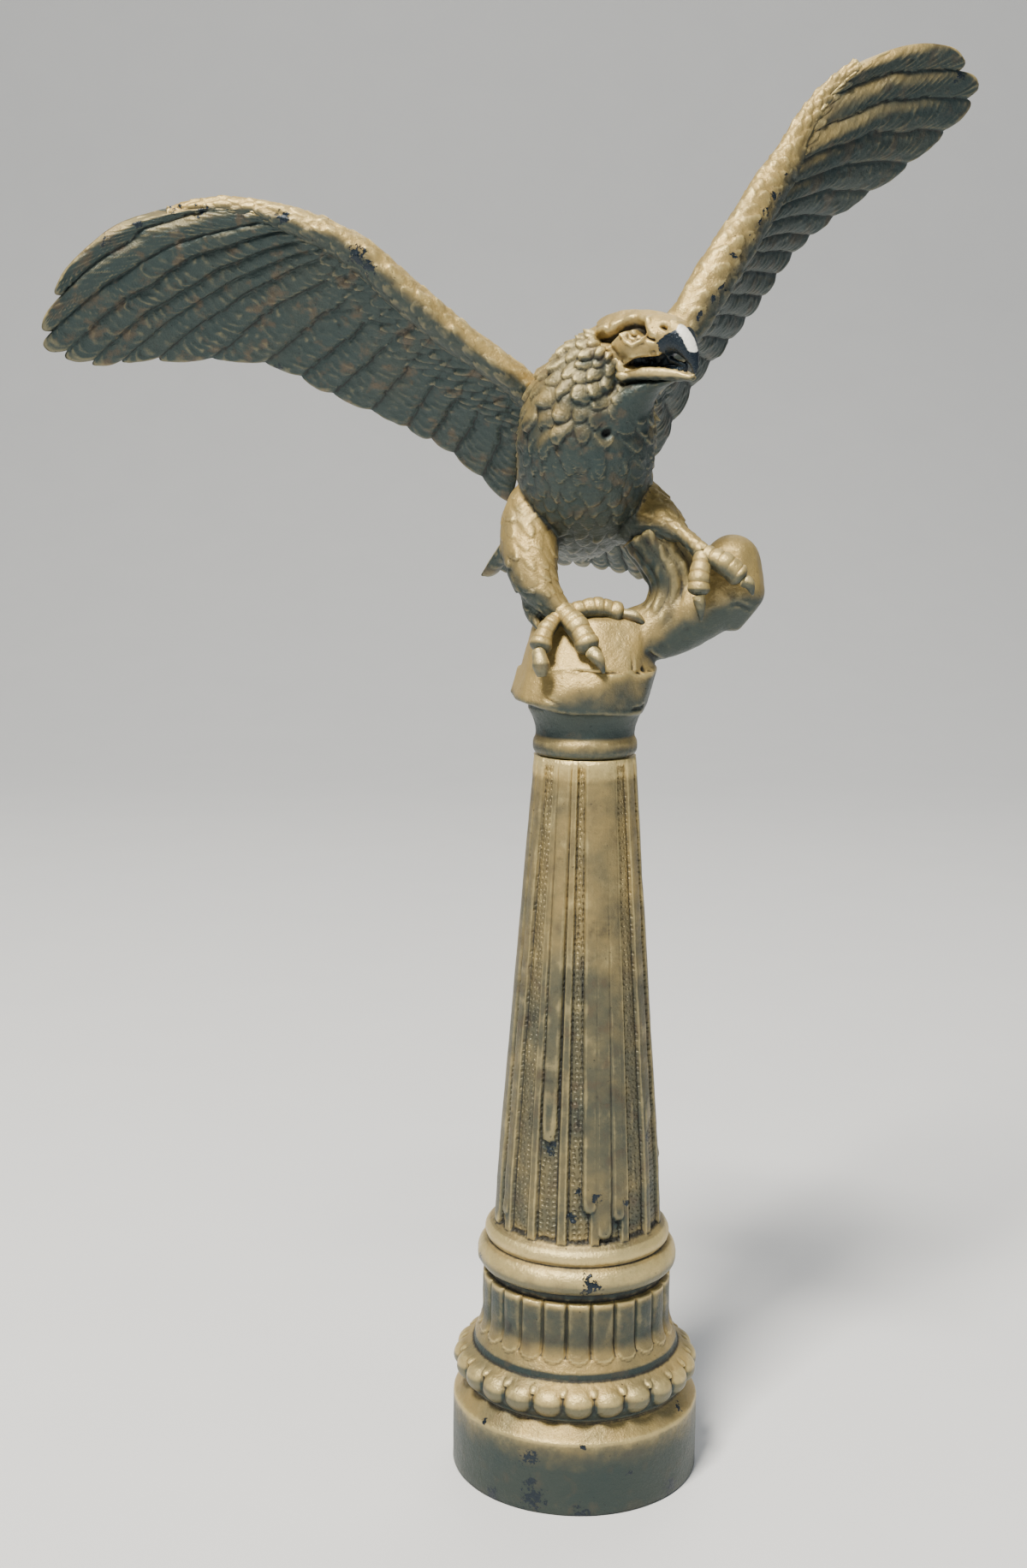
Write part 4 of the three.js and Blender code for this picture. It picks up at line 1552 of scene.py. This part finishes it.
@dataclass
class Rock:
    """The rock: a flared neck on the column, a broken block, a spur with a knob and a ribbed prop
    to the tail.

    The block and the knob are bounded by flat faces, each given by its outward normal and a point.
    """

    neck_foot: float = 205.3
    neck_outline: list[tuple[float, float]] = field(
        default_factory=lambda: [
            (205.3, 13.3), (206.2, 14.0), (206.8, 14.3), (209.2, 14.2), (209.9, 13.7),
            (210.8, 13.4), (213, 13.6), (215.4, 14.4), (218, 15.8), (222, 14),
        ]
    )
    crack_z: float = 228.9
    upper: list[Plane] = field(
        default_factory=lambda: [
            ((-0.22, -0.80, 0.56), (-4, -16.2, 229.2)),
            ((0.22, -0.83, 0.50), (6, -15.8, 229.2)),
            ((0.86, -0.50, 0.10), (13.0, -12, 231)),
            ((0.98, 0.05, 0.14), (18.8, 0, 230)),
            ((0.6, 0.75, 0.28), (10, 10, 234)),
            ((-0.1, 0.96, 0.25), (0, 12.6, 232)),
            ((-0.72, 0.62, 0.3), (-11, 9, 232)),
            ((-0.96, -0.15, 0.22), (-17.2, -3, 229)),
            ((-0.70, -0.62, 0.36), (-13.6, -12.2, 229)),
        ]
    )
    lower: list[Plane] = field(
        default_factory=lambda: [
            ((-0.12, -0.86, 0.49), (-5, -15.2, 229.3)),
            ((-0.05, -0.97, -0.2), (-3, -17.9, 224.2)),
            ((0.52, -0.84, -0.12), (9.8, -14.8, 227)),
            ((0.95, -0.15, -0.27), (18.6, -3, 228)),
            ((-0.58, -0.76, 0.30), (-12.8, -13.4, 225)),
            ((-0.94, -0.18, 0.29), (-17.4, -2, 229)),
            ((-0.6, 0.8, 0.1), (-13, 11, 222)),
            ((0.05, 1, 0.1), (0, 15, 222)),
            ((0.65, 0.75, 0.1), (12, 11, 222)),
        ]
    )
    spur: Sweep = Sweep(
        [(8, 1, 236), (22, 0, 240.4), (32, -2, 246.4), (38, -2.4, 251)],
        [7, 7.2, 8.2, 8],
        [7.4, 8.4, 8.6, 8],
    )
    prop: Sweep = Sweep(
        [(15, 1, 236), (21.6, 0, 245), (23, 0, 254), (16.4, 2, 265.6)],
        [8, 6.2, 7.4, 8.4],
        [9, 6.6, 6.4, 8],
        (0, 1, 0),
    )
    knob_at: Point = (38.6, -2.4, 252.2)
    knob_radius: float = 9.3
    knob_half_height: float = 13.0
    knob_faces: list[Plane] = field(
        default_factory=lambda: [
            ((-0.25, -0.95, 0.18), (0, -8.7, 0)),
            ((0.55, -0.80, 0.24), (5.0, -7.0, 1)),
            ((0.95, -0.25, 0.2), (8.8, 0, 0)),
            ((0.7, 0.7, 0.1), (6, 6.2, 0)),
            ((0, 1, 0.1), (0, 8.8, 0)),
            ((-0.8, 0.6, 0.1), (-7.2, 5.4, 0)),
            ((-1, -0.2, 0.1), (-8.9, 0, 0)),
            ((0.25, -0.72, -0.65), (2, -8.4, -5.6)),
            ((0.78, -0.1, -0.62), (8.2, 0, -5.2)),
        ]
    )
    cracks: list[Stroke] = field(
        default_factory=lambda: [
            Stroke(
                [(-12, -14.6, 230.2), (-4, -16.4, 229.6), (2.5, -16.2, 229.0), (7, -15.4, 229.1),
                 (10, -14, 228.6), (14, -11.5, 228.8)], 0.45, -0.9,
            ),
            Stroke([(11.6, -9.6, 242), (11.8, -11.6, 236), (12.2, -13.2, 230)], 0.55, -0.8),
            Stroke([(-12.6, -15.4, 223.0), (-9, -17, 221.2), (-5.6, -17.8, 220.0)], 0.45, -0.7),
            Stroke([(8, -15.6, 219.4), (12, -13, 218.6), (15, -9, 219.6)], 0.5, -0.8),
            Stroke([(16.2, -8, 228.4), (18.4, -5.4, 229.4), (20, -3, 228.6)], 0.45, -0.7),
            Stroke([(14, -9.6, 229), (19.6, -7.4, 233.6), (26.4, -8.6, 239.6)], 1.0, -0.5),
            Stroke([(31, -10.6, 243.4), (34.6, -11.4, 246), (39, -11.6, 247)], 0.6, -1.0),
            Stroke([(39.6, -11.4, 247), (43, -9.4, 245.4)], 0.6, -0.7),
            Stroke([(-15.4, -9, 238), (-17, -10, 232)], 0.8, -0.5),
        ]
    )
    voxel: float = 0.5

    def reach(self, planes: list[Plane], turn: Array, z: Array) -> Array:
        """How far a stone bounded by flat faces reaches from the axis at a turn and height: the
        distance to the nearest face, with a slightly blunted edge, (sum of distance^-24)^(-1/24).

        Args:
            planes: each face's outward normal and a point on it.
            turn: direction, radians from +X.
            z: height, mm.

        Returns:
            The radius, mm.
        """
        sharpness = 24.0
        near = np.zeros(np.broadcast_shapes(z.shape, turn.shape))
        for normal, at in planes:
            n = np.asarray(normal)
            facing = np.maximum(n[0] * np.cos(turn) + n[1] * np.sin(turn), 0.02)
            near += (np.maximum(n @ np.asarray(at) - n[2] * z, 0.5) / facing) ** -sharpness
        return near ** (-1 / sharpness)

    def lesser(self, a: Array, b: Array, sharpness: float) -> Array:
        """The blunted least of two radii, (a^-n + b^-n)^(-1/n)."""
        return (a**-sharpness + b**-sharpness) ** (-1 / sharpness)

    def turned(self, radius: Array, a: Array, z: Array) -> Array:
        """Rings of points at a radius, a turn in radians and a height."""
        return np.stack([radius * np.cos(a), radius * np.sin(a), z + 0 * a], -1)

    def block(self) -> Surface:
        """The block: broken faces above its crack, and below it a ledge and an upright band that
        ends in an undercut rim, a steep cone that cuts the band off.

        Returns:
            The closed surface.
        """
        z = np.linspace(212.4, 243.4, 108)[:, None]
        a = np.linspace(0, 2 * np.pi, 240, endpoint=False)[None]
        rim = 217.6 + 2.6 * ease(0.2, 1.0, -np.cos(a)) + 0.4 * np.sin(3 * a)
        upper = self.reach(self.upper, a, z) * ease(244.6, 241.4, z) ** 0.3
        cone = 15.0 + 4.5 * (z - rim + 0.6)
        band = self.reach(self.lower, a, z)
        lower = self.lesser(np.maximum(band, 1), np.maximum(cone, 1), 30.0)
        share = ease(-0.3, 0.3, z - self.crack_z - 0.3 * np.sin(3 * a + 1))
        return shell(self.turned(lower * (1 - share) + upper * share, a, z))

    def knob(self) -> Surface:
        """The knob: an egg shape with flat broken faces, whose radius is the blunted least of both.

        Returns:
            The closed surface.
        """
        z = -np.cos(np.linspace(0.03, np.pi - 0.03, 64))[:, None] * self.knob_half_height
        a = np.linspace(0, 2 * np.pi, 120, endpoint=False)[None]
        egg = self.knob_radius * np.sqrt(1 - (z / self.knob_half_height) ** 2) + 0.05
        radius = self.lesser(egg, self.reach(self.knob_faces, a, z), 20.0)
        return shell(self.turned(radius, a, z) + np.asarray(self.knob_at))

    def neck(self) -> Surface:
        """The neck: a turned profile with a ring at its foot that flares under the block.

        Returns:
            The closed surface.
        """
        heights, radii = np.array(self.neck_outline).T
        z = np.linspace(self.neck_foot, heights[-1], 60)[:, None]
        a = np.linspace(0, 2 * np.pi, 120, endpoint=False)[None]
        return shell(self.turned(np.interp(z, heights, radii), a, z))

    def build(self, finish: bpy.types.Material) -> bpy.types.Object:
        """Makes the rock: its shells fused, then cracks, ribs on the prop and a faint unevenness.

        Args:
            finish: the paint.

        Returns:
            The piece.
        """
        parts = [self.neck(), self.block(), self.spur.tube(), self.prop.tube(), self.knob()]
        skin = fused(parts, self.voxel, 2)
        p = skin.points
        t, turn, ratio = self.prop.locate(p)
        ribbed = np.exp(-(((ratio - 1) / 0.22) ** 2)) * ease(0.16, 0.3, t)
        wave = np.abs(np.sin(np.pi * turn * 13 + 0.9 * lumps(p, 8, 53)))
        relief = (0.14 * lumps(p, 5, 51) + 0.07 * lumps(p, 1.8, 52)) * ease(205.6, 212, p[:, 2])
        relief += ribbed * (0.5 * wave - 0.35 + 0.3 * lumps(p * (1, 1, 0.35), 1.4, 54))
        relief += np.sum([crack.relief(p) for crack in self.cracks], axis=0)
        skin.pushed(relief).mark_hollows(0.07, 0.45)

        z = p[:, 2]
        # tarnish and painted shade, more on the prop's ribs and low on the neck
        skin.marks["tarnish"] = np.clip(0.05 + 0.5 * ribbed + 0.4 * ease(217, 212, z), 0, 1)
        # painted shade on the neck's flare under the block
        flare_shade = 0.9 * ease(219.6, 217.4, z) * ease(209.6, 211.6, z)  # the neck's dark flare
        flare_shade *= ease(17.2, 16.2, np.hypot(p[:, 0], p[:, 1]))
        skin.marks["under"] = np.maximum(skin.marks["under"], flare_shade)
        return cast("rock_gilt", "eagle_on_rock", skin, finish)


@dataclass
class Eagle:
    """The bird's body, legs, feet, head and tail, cast in one with the rock."""

    torso: Sweep = Sweep(
        [(-4, 36, 259.5), (-3, 27, 265.5), (-2, 15, 273), (-1.2, 3, 281.5), (-1, -5.5, 290),
         (0.4, -10, 299), (3.4, -13, 306.5), (7, -16, 312)],
        [7, 12.5, 16.4, 18.0, 18.0, 16.4, 13.0, 9.2],
        [4.5, 9.8, 15.8, 18.6, 17.7, 14.5, 10.4, 6.8],
        (0, 0.8, 0.6),
    )
    right_thigh: Sweep = Sweep(
        [(-10, 9, 274), (-15.2, 4, 266), (-15.4, -1.8, 257.5), (-12.6, -5.6, 250),
         (-6.6, -7.6, 243.4)],
        [9, 8.5, 7.2, 5.6, 3],
        [10, 9.5, 7.7, 5.4, 3],
    )
    tuft: Sweep = Sweep(
        [(-15, -2, 251), (-14.6, -4, 244), (-12.4, -7, 238.4)],
        [3.4, 2.6, 0.5],
        [3.4, 2.4, 0.5],
    )
    left_thigh: Sweep = Sweep(
        [(8, 9, 272.4), (14.6, 4.6, 270), (19.6, -1.6, 268), (24, -7, 265.6)],
        [10, 8.6, 6.2, 3.0],
        [10, 9, 5.8, 2.8],
    )
    shank: Sweep = Sweep(
        [(20, -4.4, 268), (25.4, -8.6, 264.6), (30, -11.4, 260.2)],
        [2.9, 2.4, 2.6],
        [2.9, 2.4, 2.6],
    )
    toes: list[Toe] = field(
        default_factory=lambda: [
            Toe(
                [(-7.4, -7.6, 244.6), (-3.2, -12.4, 241), (0.7, -16.6, 234.6)],
                3.0, (4, -19, 229.2),
            ),
            Toe(
                [(-6.6, -7.6, 243.8), (2.5, -5.2, 245.4), (9.6, -4.4, 243.6)],
                2.6, (15.6, -5.6, 240.6),
            ),
            Toe(
                [(-7.6, -8.4, 243.4), (-11, -12.4, 240), (-13.2, -16.2, 234.6)],
                2.2, (-12.2, -18.2, 228.2), 0.5, (0.8, 0.9, 1.05, 0.6),
            ),
            Toe(
                [(30, -11.4, 260.2), (35.4, -13.4, 257.8), (40.4, -13.6, 253.6)],
                2.8, (43, -13.4, 249.8),
            ),
            Toe(
                [(30, -11.4, 260.2), (28.8, -14.2, 254.4), (28.6, -15, 249.4)],
                2.6, (29.4, -14.6, 242.8),
            ),
        ]
    )
    throat_in_head: list[Point] = field(
        default_factory=lambda: [(13.5, 0, -9.6), (7, 0, -10.6), (1, 0, -13.6), (-4, 0, -19)]
    )
    bare_line: list[Point] = field(
        default_factory=lambda: [(18, -26, 305), (12, -27, 298), (8, -27, 293), (4, -25, 291)]
    )
    bare_width: list[float] = field(default_factory=lambda: [8.5, 8, 6.4, 4])
    breast_hole: Point = (3.7, -23.5, 290.9)
    head: Head = field(default_factory=Head)
    voxel: float = 0.46

    def plumage(self, points: Array) -> Array:
        """Height of the feathers over body and legs.

        Every limb gives its own rows of tongues. Where limbs meet, each counts by how near the
        point lies to that limb's section, exp(-((ratio - 1) / 0.16)^2).

        Args:
            points: (n, 3), mm.

        Returns:
            The relief, mm.
        """
        start = 40.0  # keeps the run along a limb above 0 beyond its end
        total, weight = np.zeros(len(points)), np.full(len(points), 1e-6)
        spot, fine = lumps(points, 6, 31), lumps(points, 2.2, 32)
        # each limb, its feathers round it, their pitch, which way they lie and their height
        limbs = [
            (self.torso, 17, 4.5, -1, 2.3),
            (self.right_thigh, 11, 4.6, 1, 0.8),
            (self.left_thigh, 10, 4.6, 1, 0.8),
            (self.tuft, 6, 3.5, 1, 0.5),
            (self.shank, 7, 2.2, 1, 0.5),
        ]
        for number, (limb, columns, pitch, way, tall) in enumerate(limbs):
            t, turn, ratio = limb.locate(points)
            run = start + (t if way > 0 else 1 - t) * limb.length() + 1.5 * spot + 0.6 * fine
            round_it = turn + 0.022 * spot + 0.008 * fine
            height = tall * tongues(run, round_it, columns, pitch, 41 + number)
            if limb is self.torso:
                neck = ease(0.5, 0.68, t)
                belly = 1.2 * tongues(run, turn + 0.02 * spot + 0.006 * fine, 23, 3.4, 47)
                height = neck * height + (1 - neck) * belly
                height = height * (1 - 0.95 * self.bare_throat(points))
            share = np.exp(-(((ratio - 1) / 0.16) ** 2)) * (t > -0.05) * (t < 1.05)
            total += height * share
            weight += share
        return total / weight * ease(0.04, 0.5, weight)

    def bare_throat(self, points: Array) -> Array:
        """1 on the smooth throat, fading to 0 round it."""
        return np.minimum(1.5 * Stroke(self.bare_line, self.bare_width, 1.0).relief(points), 1)

    def body(self) -> Surface:
        """Body and legs fused, with feathers in relief and the small hole in the breast.

        Returns:
            The surface, with its marks.
        """
        line = self.head.world(self.throat_in_head)
        throat = Sweep(line, [1.4, 3.8, 6.8, 8.8], [0.5, 1.8, 4.4, 6.3])
        limbs = (self.torso, throat, self.right_thigh, self.tuft, self.left_thigh, self.shank)
        skin = fused([limb.tube(80, 60) for limb in limbs], self.voxel, 3)
        p = skin.points
        hole = Stroke([self.breast_hole], 1.25, -2.6, 3.0).relief(p)
        skin.pushed(self.plumage(p) - 0.3 + 0.15 * lumps(p, 1.7, 55) + hole).mark_hollows(0.1, 0.6)

        from_hole = np.linalg.norm(p - np.asarray(self.breast_hole), axis=1)
        breast = ease(0, -12, p[:, 1]) * ease(262, 275, p[:, 2]) * ease(303, 293, p[:, 2])
        nape = ease(284, 292, p[:, 2])
        marks = skin.marks
        # tarnish and painted shade on the breast and the nape
        marks["tarnish"] = np.clip(0.1 + 0.6 * np.maximum(breast, nape), 0, 1)
        # painted shade on the smooth throat
        marks["under"] = np.maximum(marks["under"], 0.8 * self.bare_throat(p))
        # painted shade, in soot colour, in the breast hole
        marks["ridge"] = np.minimum(marks["ridge"], -1 + 2 * ease(1.3, 2.0, from_hole))
        return skin

    def build(self, finish: bpy.types.Material) -> None:
        """Makes the body with its legs, toes and tail, and the head in finer mesh.

        Args:
            finish: the paint.
        """
        tail = TailSheet(
            count=9,
            per_feather=12,
            rows=36,
            notch=[2.2] * 5,
            thick=[2.6, 2.2, 1.8, 1.4, 0.9],
            scaly=[10] * 5,
            seed=7,
        ).build()
        tail.marks["tarnish"] = np.full(len(tail.points), 0.6)
        toes = Surface.joined([toe.build() for toe in self.toes])
        for part in (tail, toes):
            part.mark_hollows(0.08, 0.4)
        cast("eagle_gilt", "eagle_on_rock", Surface.joined([self.body(), tail, toes]), finish)
        cast("eagle_head_gilt", "eagle_on_rock", self.head.build(), finish)


RIGHT_WING = Wing(
    name="right_wing_gilt",
    node="right_wing",
    arm=[
        (-13, 1, 300), (-21, -3, 306.5), (-36.3, -6, 317.1), (-48, -9, 326.3), (-60.4, -11, 336.8),
        (-73, -12, 343.1), (-85.6, -11.5, 346.7), (-98.4, -10.5, 347.9), (-109.7, -9, 346.1),
    ],
    arm_depth=[4, 3.7, 3.9, 4.1, 3.8, 3.2, 2.7, 2.2, 1.8],
    tips=[
        (-136, -11.5, 333), (-145, -5, 314.3), (-135, 2, 307.6), (-117.7, 7, 309), (-89, 12, 308.6),
        (-70.8, 16, 300.8), (-50.4, 19.5, 292), (-37.5, 21.5, 285), (-21, 20, 271),
    ],
    bow=(-0.1, -0.15, 1),
    bend=[6, 13, 12, 6, 3, 2, 1.5, 1, 0],
    root_place=[1, 0.68, 0.58, 0.53, 0.43, 0.32, 0.23, 0.14, 0.03],
    shade=0.85,
    chips=[
        ((-60.8, -15, 334.9), 3.0), ((-58, -14, 332.4), 2.2), ((-108.5, -12, 347.4), 2.6),
        ((-100.6, -13.5, 346), 2.2), ((-79.7, -15, 344.6), 2.0), ((-132.6, -13, 335), 2.0),
        ((-126.1, -12.5, 338.7), 1.8), ((-117.3, -12, 342.7), 1.6), ((-84.7, 11, 307.6), 2.0),
        ((-21.2, -3, 303.6), 2.4), ((-142.2, -1, 312), 1.8),
    ],
    seed=3,
)
LEFT_WING = Wing(
    name="left_wing_gilt",
    node="left_wing",
    arm=[
        (14, 2, 306), (25.2, 3, 321.1), (33.4, 7, 334.3), (40.4, 13, 345.4), (47.7, 20, 357.5),
        (53.5, 25, 366.3), (59.6, 31, 377.4), (66, 35, 385.9), (74.2, 38, 393.5),
    ],
    arm_depth=[5.4, 5.2, 5.6, 5.6, 5.2, 4.4, 3.4, 2.6, 2],
    tips=[
        (103, 48, 401.6), (112, 58, 388.6), (94.6, 58, 370.4), (72, 52, 354.4), (59.5, 48, 343.6),
        (50.6, 44, 331), (41, 40, 318.6), (30, 34, 304.6), (19, 26, 284),
    ],
    bow=(0, 0.1, 1),
    bend=[4, 8, 7, 5, 3, 2, 1, 1, 0],
    root_place=[1, 0.7, 0.48, 0.37, 0.29, 0.19, 0.1, 0.05, 0],
    shade=0.5,
    chips=[
        ((50.6, 15.0, 355.0), 2.6), ((49.2, 13.8, 353.1), 1.8), ((47.5, 12.2, 350.5), 2.3),
        ((45.9, 9.8, 346.4), 2.2), ((43.7, 8.0, 343.3), 1.6), ((37.4, 5.0, 337.8), 1.9),
        ((38.0, 2.8, 333.8), 1.4), ((34.8, 1.4, 329.2), 1.8), ((31.8, 0.6, 326.6), 1.3),
        ((28.0, -0.9, 321.9), 1.5), ((53.2, 18.6, 360.9), 1.3), ((105.3, 52, 393.2), 2.2),
        ((70.8, 33.6, 388.3), 1.6),
    ],
    seed=5,
)


# ------------------------------------------------------------------------------------------- studio


@dataclass(frozen=True)
class Studio:
    """A pale floor, soft lights and the camera at the photograph's place. Sizes here are in
    metres."""

    camera_at: Point = (-0.0194, -0.5323, 0.2837)
    pitch: float = 80.7
    roll: float = 0.6
    lens: float = 45.2
    sensor: float = 36.0
    aim: Point = (0.0, 0.0, 0.22)
    sky: Colour = (0.66, 0.77, 0.92, 1)
    sky_strength: float = 0.23
    floor_front: float = -1.4
    floor_depth: float = 2.6
    floor_bend: float = 1.2
    floor_half_width: float = 3.0

    def floor(self) -> None:
        """Makes a floor that is flat, then curves up far behind the object in a quarter circle, and
        ends in an upright wall."""
        along, across = 60, 12
        s = np.linspace(0, 1, along)
        flat = np.minimum(s / 0.5, 1) * self.floor_depth + self.floor_front
        turn = np.clip((s - 0.5) / 0.5, 0, 1) * np.pi / 2
        y = flat + self.floor_bend * np.sin(turn)
        z = self.floor_bend * (1 - np.cos(turn)) + np.maximum(0, s - 0.98) * 60
        x = np.linspace(-self.floor_half_width, self.floor_half_width, across)
        grid = np.stack(np.broadcast_arrays(x[None], y[:, None], z[:, None]), -1)
        index = np.arange(along * across).reshape(along, across)
        corners = [index[:-1, :-1], index[:-1, 1:], index[1:, 1:], index[1:, :-1]]
        quads = np.stack(corners, -1).reshape(-1, 4)
        mesh = bpy.data.meshes.new("pale_floor")
        mesh.from_pydata(grid.reshape(-1, 3).tolist(), [], quads.tolist())
        mesh.polygons.foreach_set("use_smooth", np.ones(len(quads), bool))
        mesh.materials.append(PaleFloor().mix())
        floor = bpy.data.objects.new("pale_floor", mesh)
        bpy.context.scene.collection.objects.link(floor)

    def light(self, name: str, at: Point, size: float, watts: float, colour: Point) -> None:
        """Makes a square soft light that faces the aim.

        Args:
            name: its name.
            at: its place.
            size: its side.
            watts: its power.
            colour: its colour.
        """
        lamp = bpy.data.lights.new(name, "AREA")
        lamp.size, lamp.energy, lamp.color = size, watts, colour
        thing = bpy.data.objects.new(name, lamp)
        bpy.context.scene.collection.objects.link(thing)
        thing.location = at
        back = unit(np.asarray(at, float) - np.asarray(self.aim, float))
        tilt, turn = np.arccos(back[2]), np.arctan2(back[1], back[0]) + np.pi / 2
        thing.rotation_euler = (float(tilt), 0.0, float(turn))

    def camera(self) -> None:
        """Makes the camera, rolled about its own axis and then tipped up by its pitch."""
        lens = bpy.data.cameras.new("camera")
        lens.lens, lens.sensor_width = self.lens, self.sensor
        lens.clip_start, lens.clip_end = 0.01, 20.0
        camera = bpy.data.objects.new("camera", lens)
        bpy.context.scene.collection.objects.link(camera)
        camera.location = self.camera_at
        pitch = Matrix.Rotation(np.radians(self.pitch), 4, "X")
        roll = Matrix.Rotation(np.radians(self.roll), 4, "Z")
        camera.rotation_euler = (pitch @ roll).to_euler()
        bpy.context.scene.camera = camera

    def build(self) -> None:
        """Makes the floor, lights, world and camera."""
        self.floor()
        self.light("key", (-0.45, -0.8, 1.7), 0.4, 74.0, (1.0, 0.955, 0.87))
        self.light("fill", (1.4, -0.9, 0.7), 1.2, 3.0, (0.84, 0.92, 1.0))
        self.light("back", (0.2, 0.9, 1.5), 0.8, 8.0, (1.0, 0.97, 0.92))
        world = bpy.data.worlds.new("pale_room")
        world.use_nodes = True
        background = world.node_tree.nodes["Background"]
        background.inputs["Color"].default_value = self.sky
        background.inputs["Strength"].default_value = self.sky_strength
        bpy.context.scene.world = world
        self.camera()


def main() -> None:
    """Builds the finial's pieces and the studio in order."""
    finish = GiltPaint()
    gilt = finish.mix("gilt_paint")
    Column().build(finish)
    Rock().build(gilt)
    Eagle().build(gilt)
    RIGHT_WING.build(gilt)
    LEFT_WING.build(gilt)
    Studio().build()


if __name__ == "__main__":
    logging.basicConfig(level=logging.INFO, format="%(name)s %(message)s")
    main()
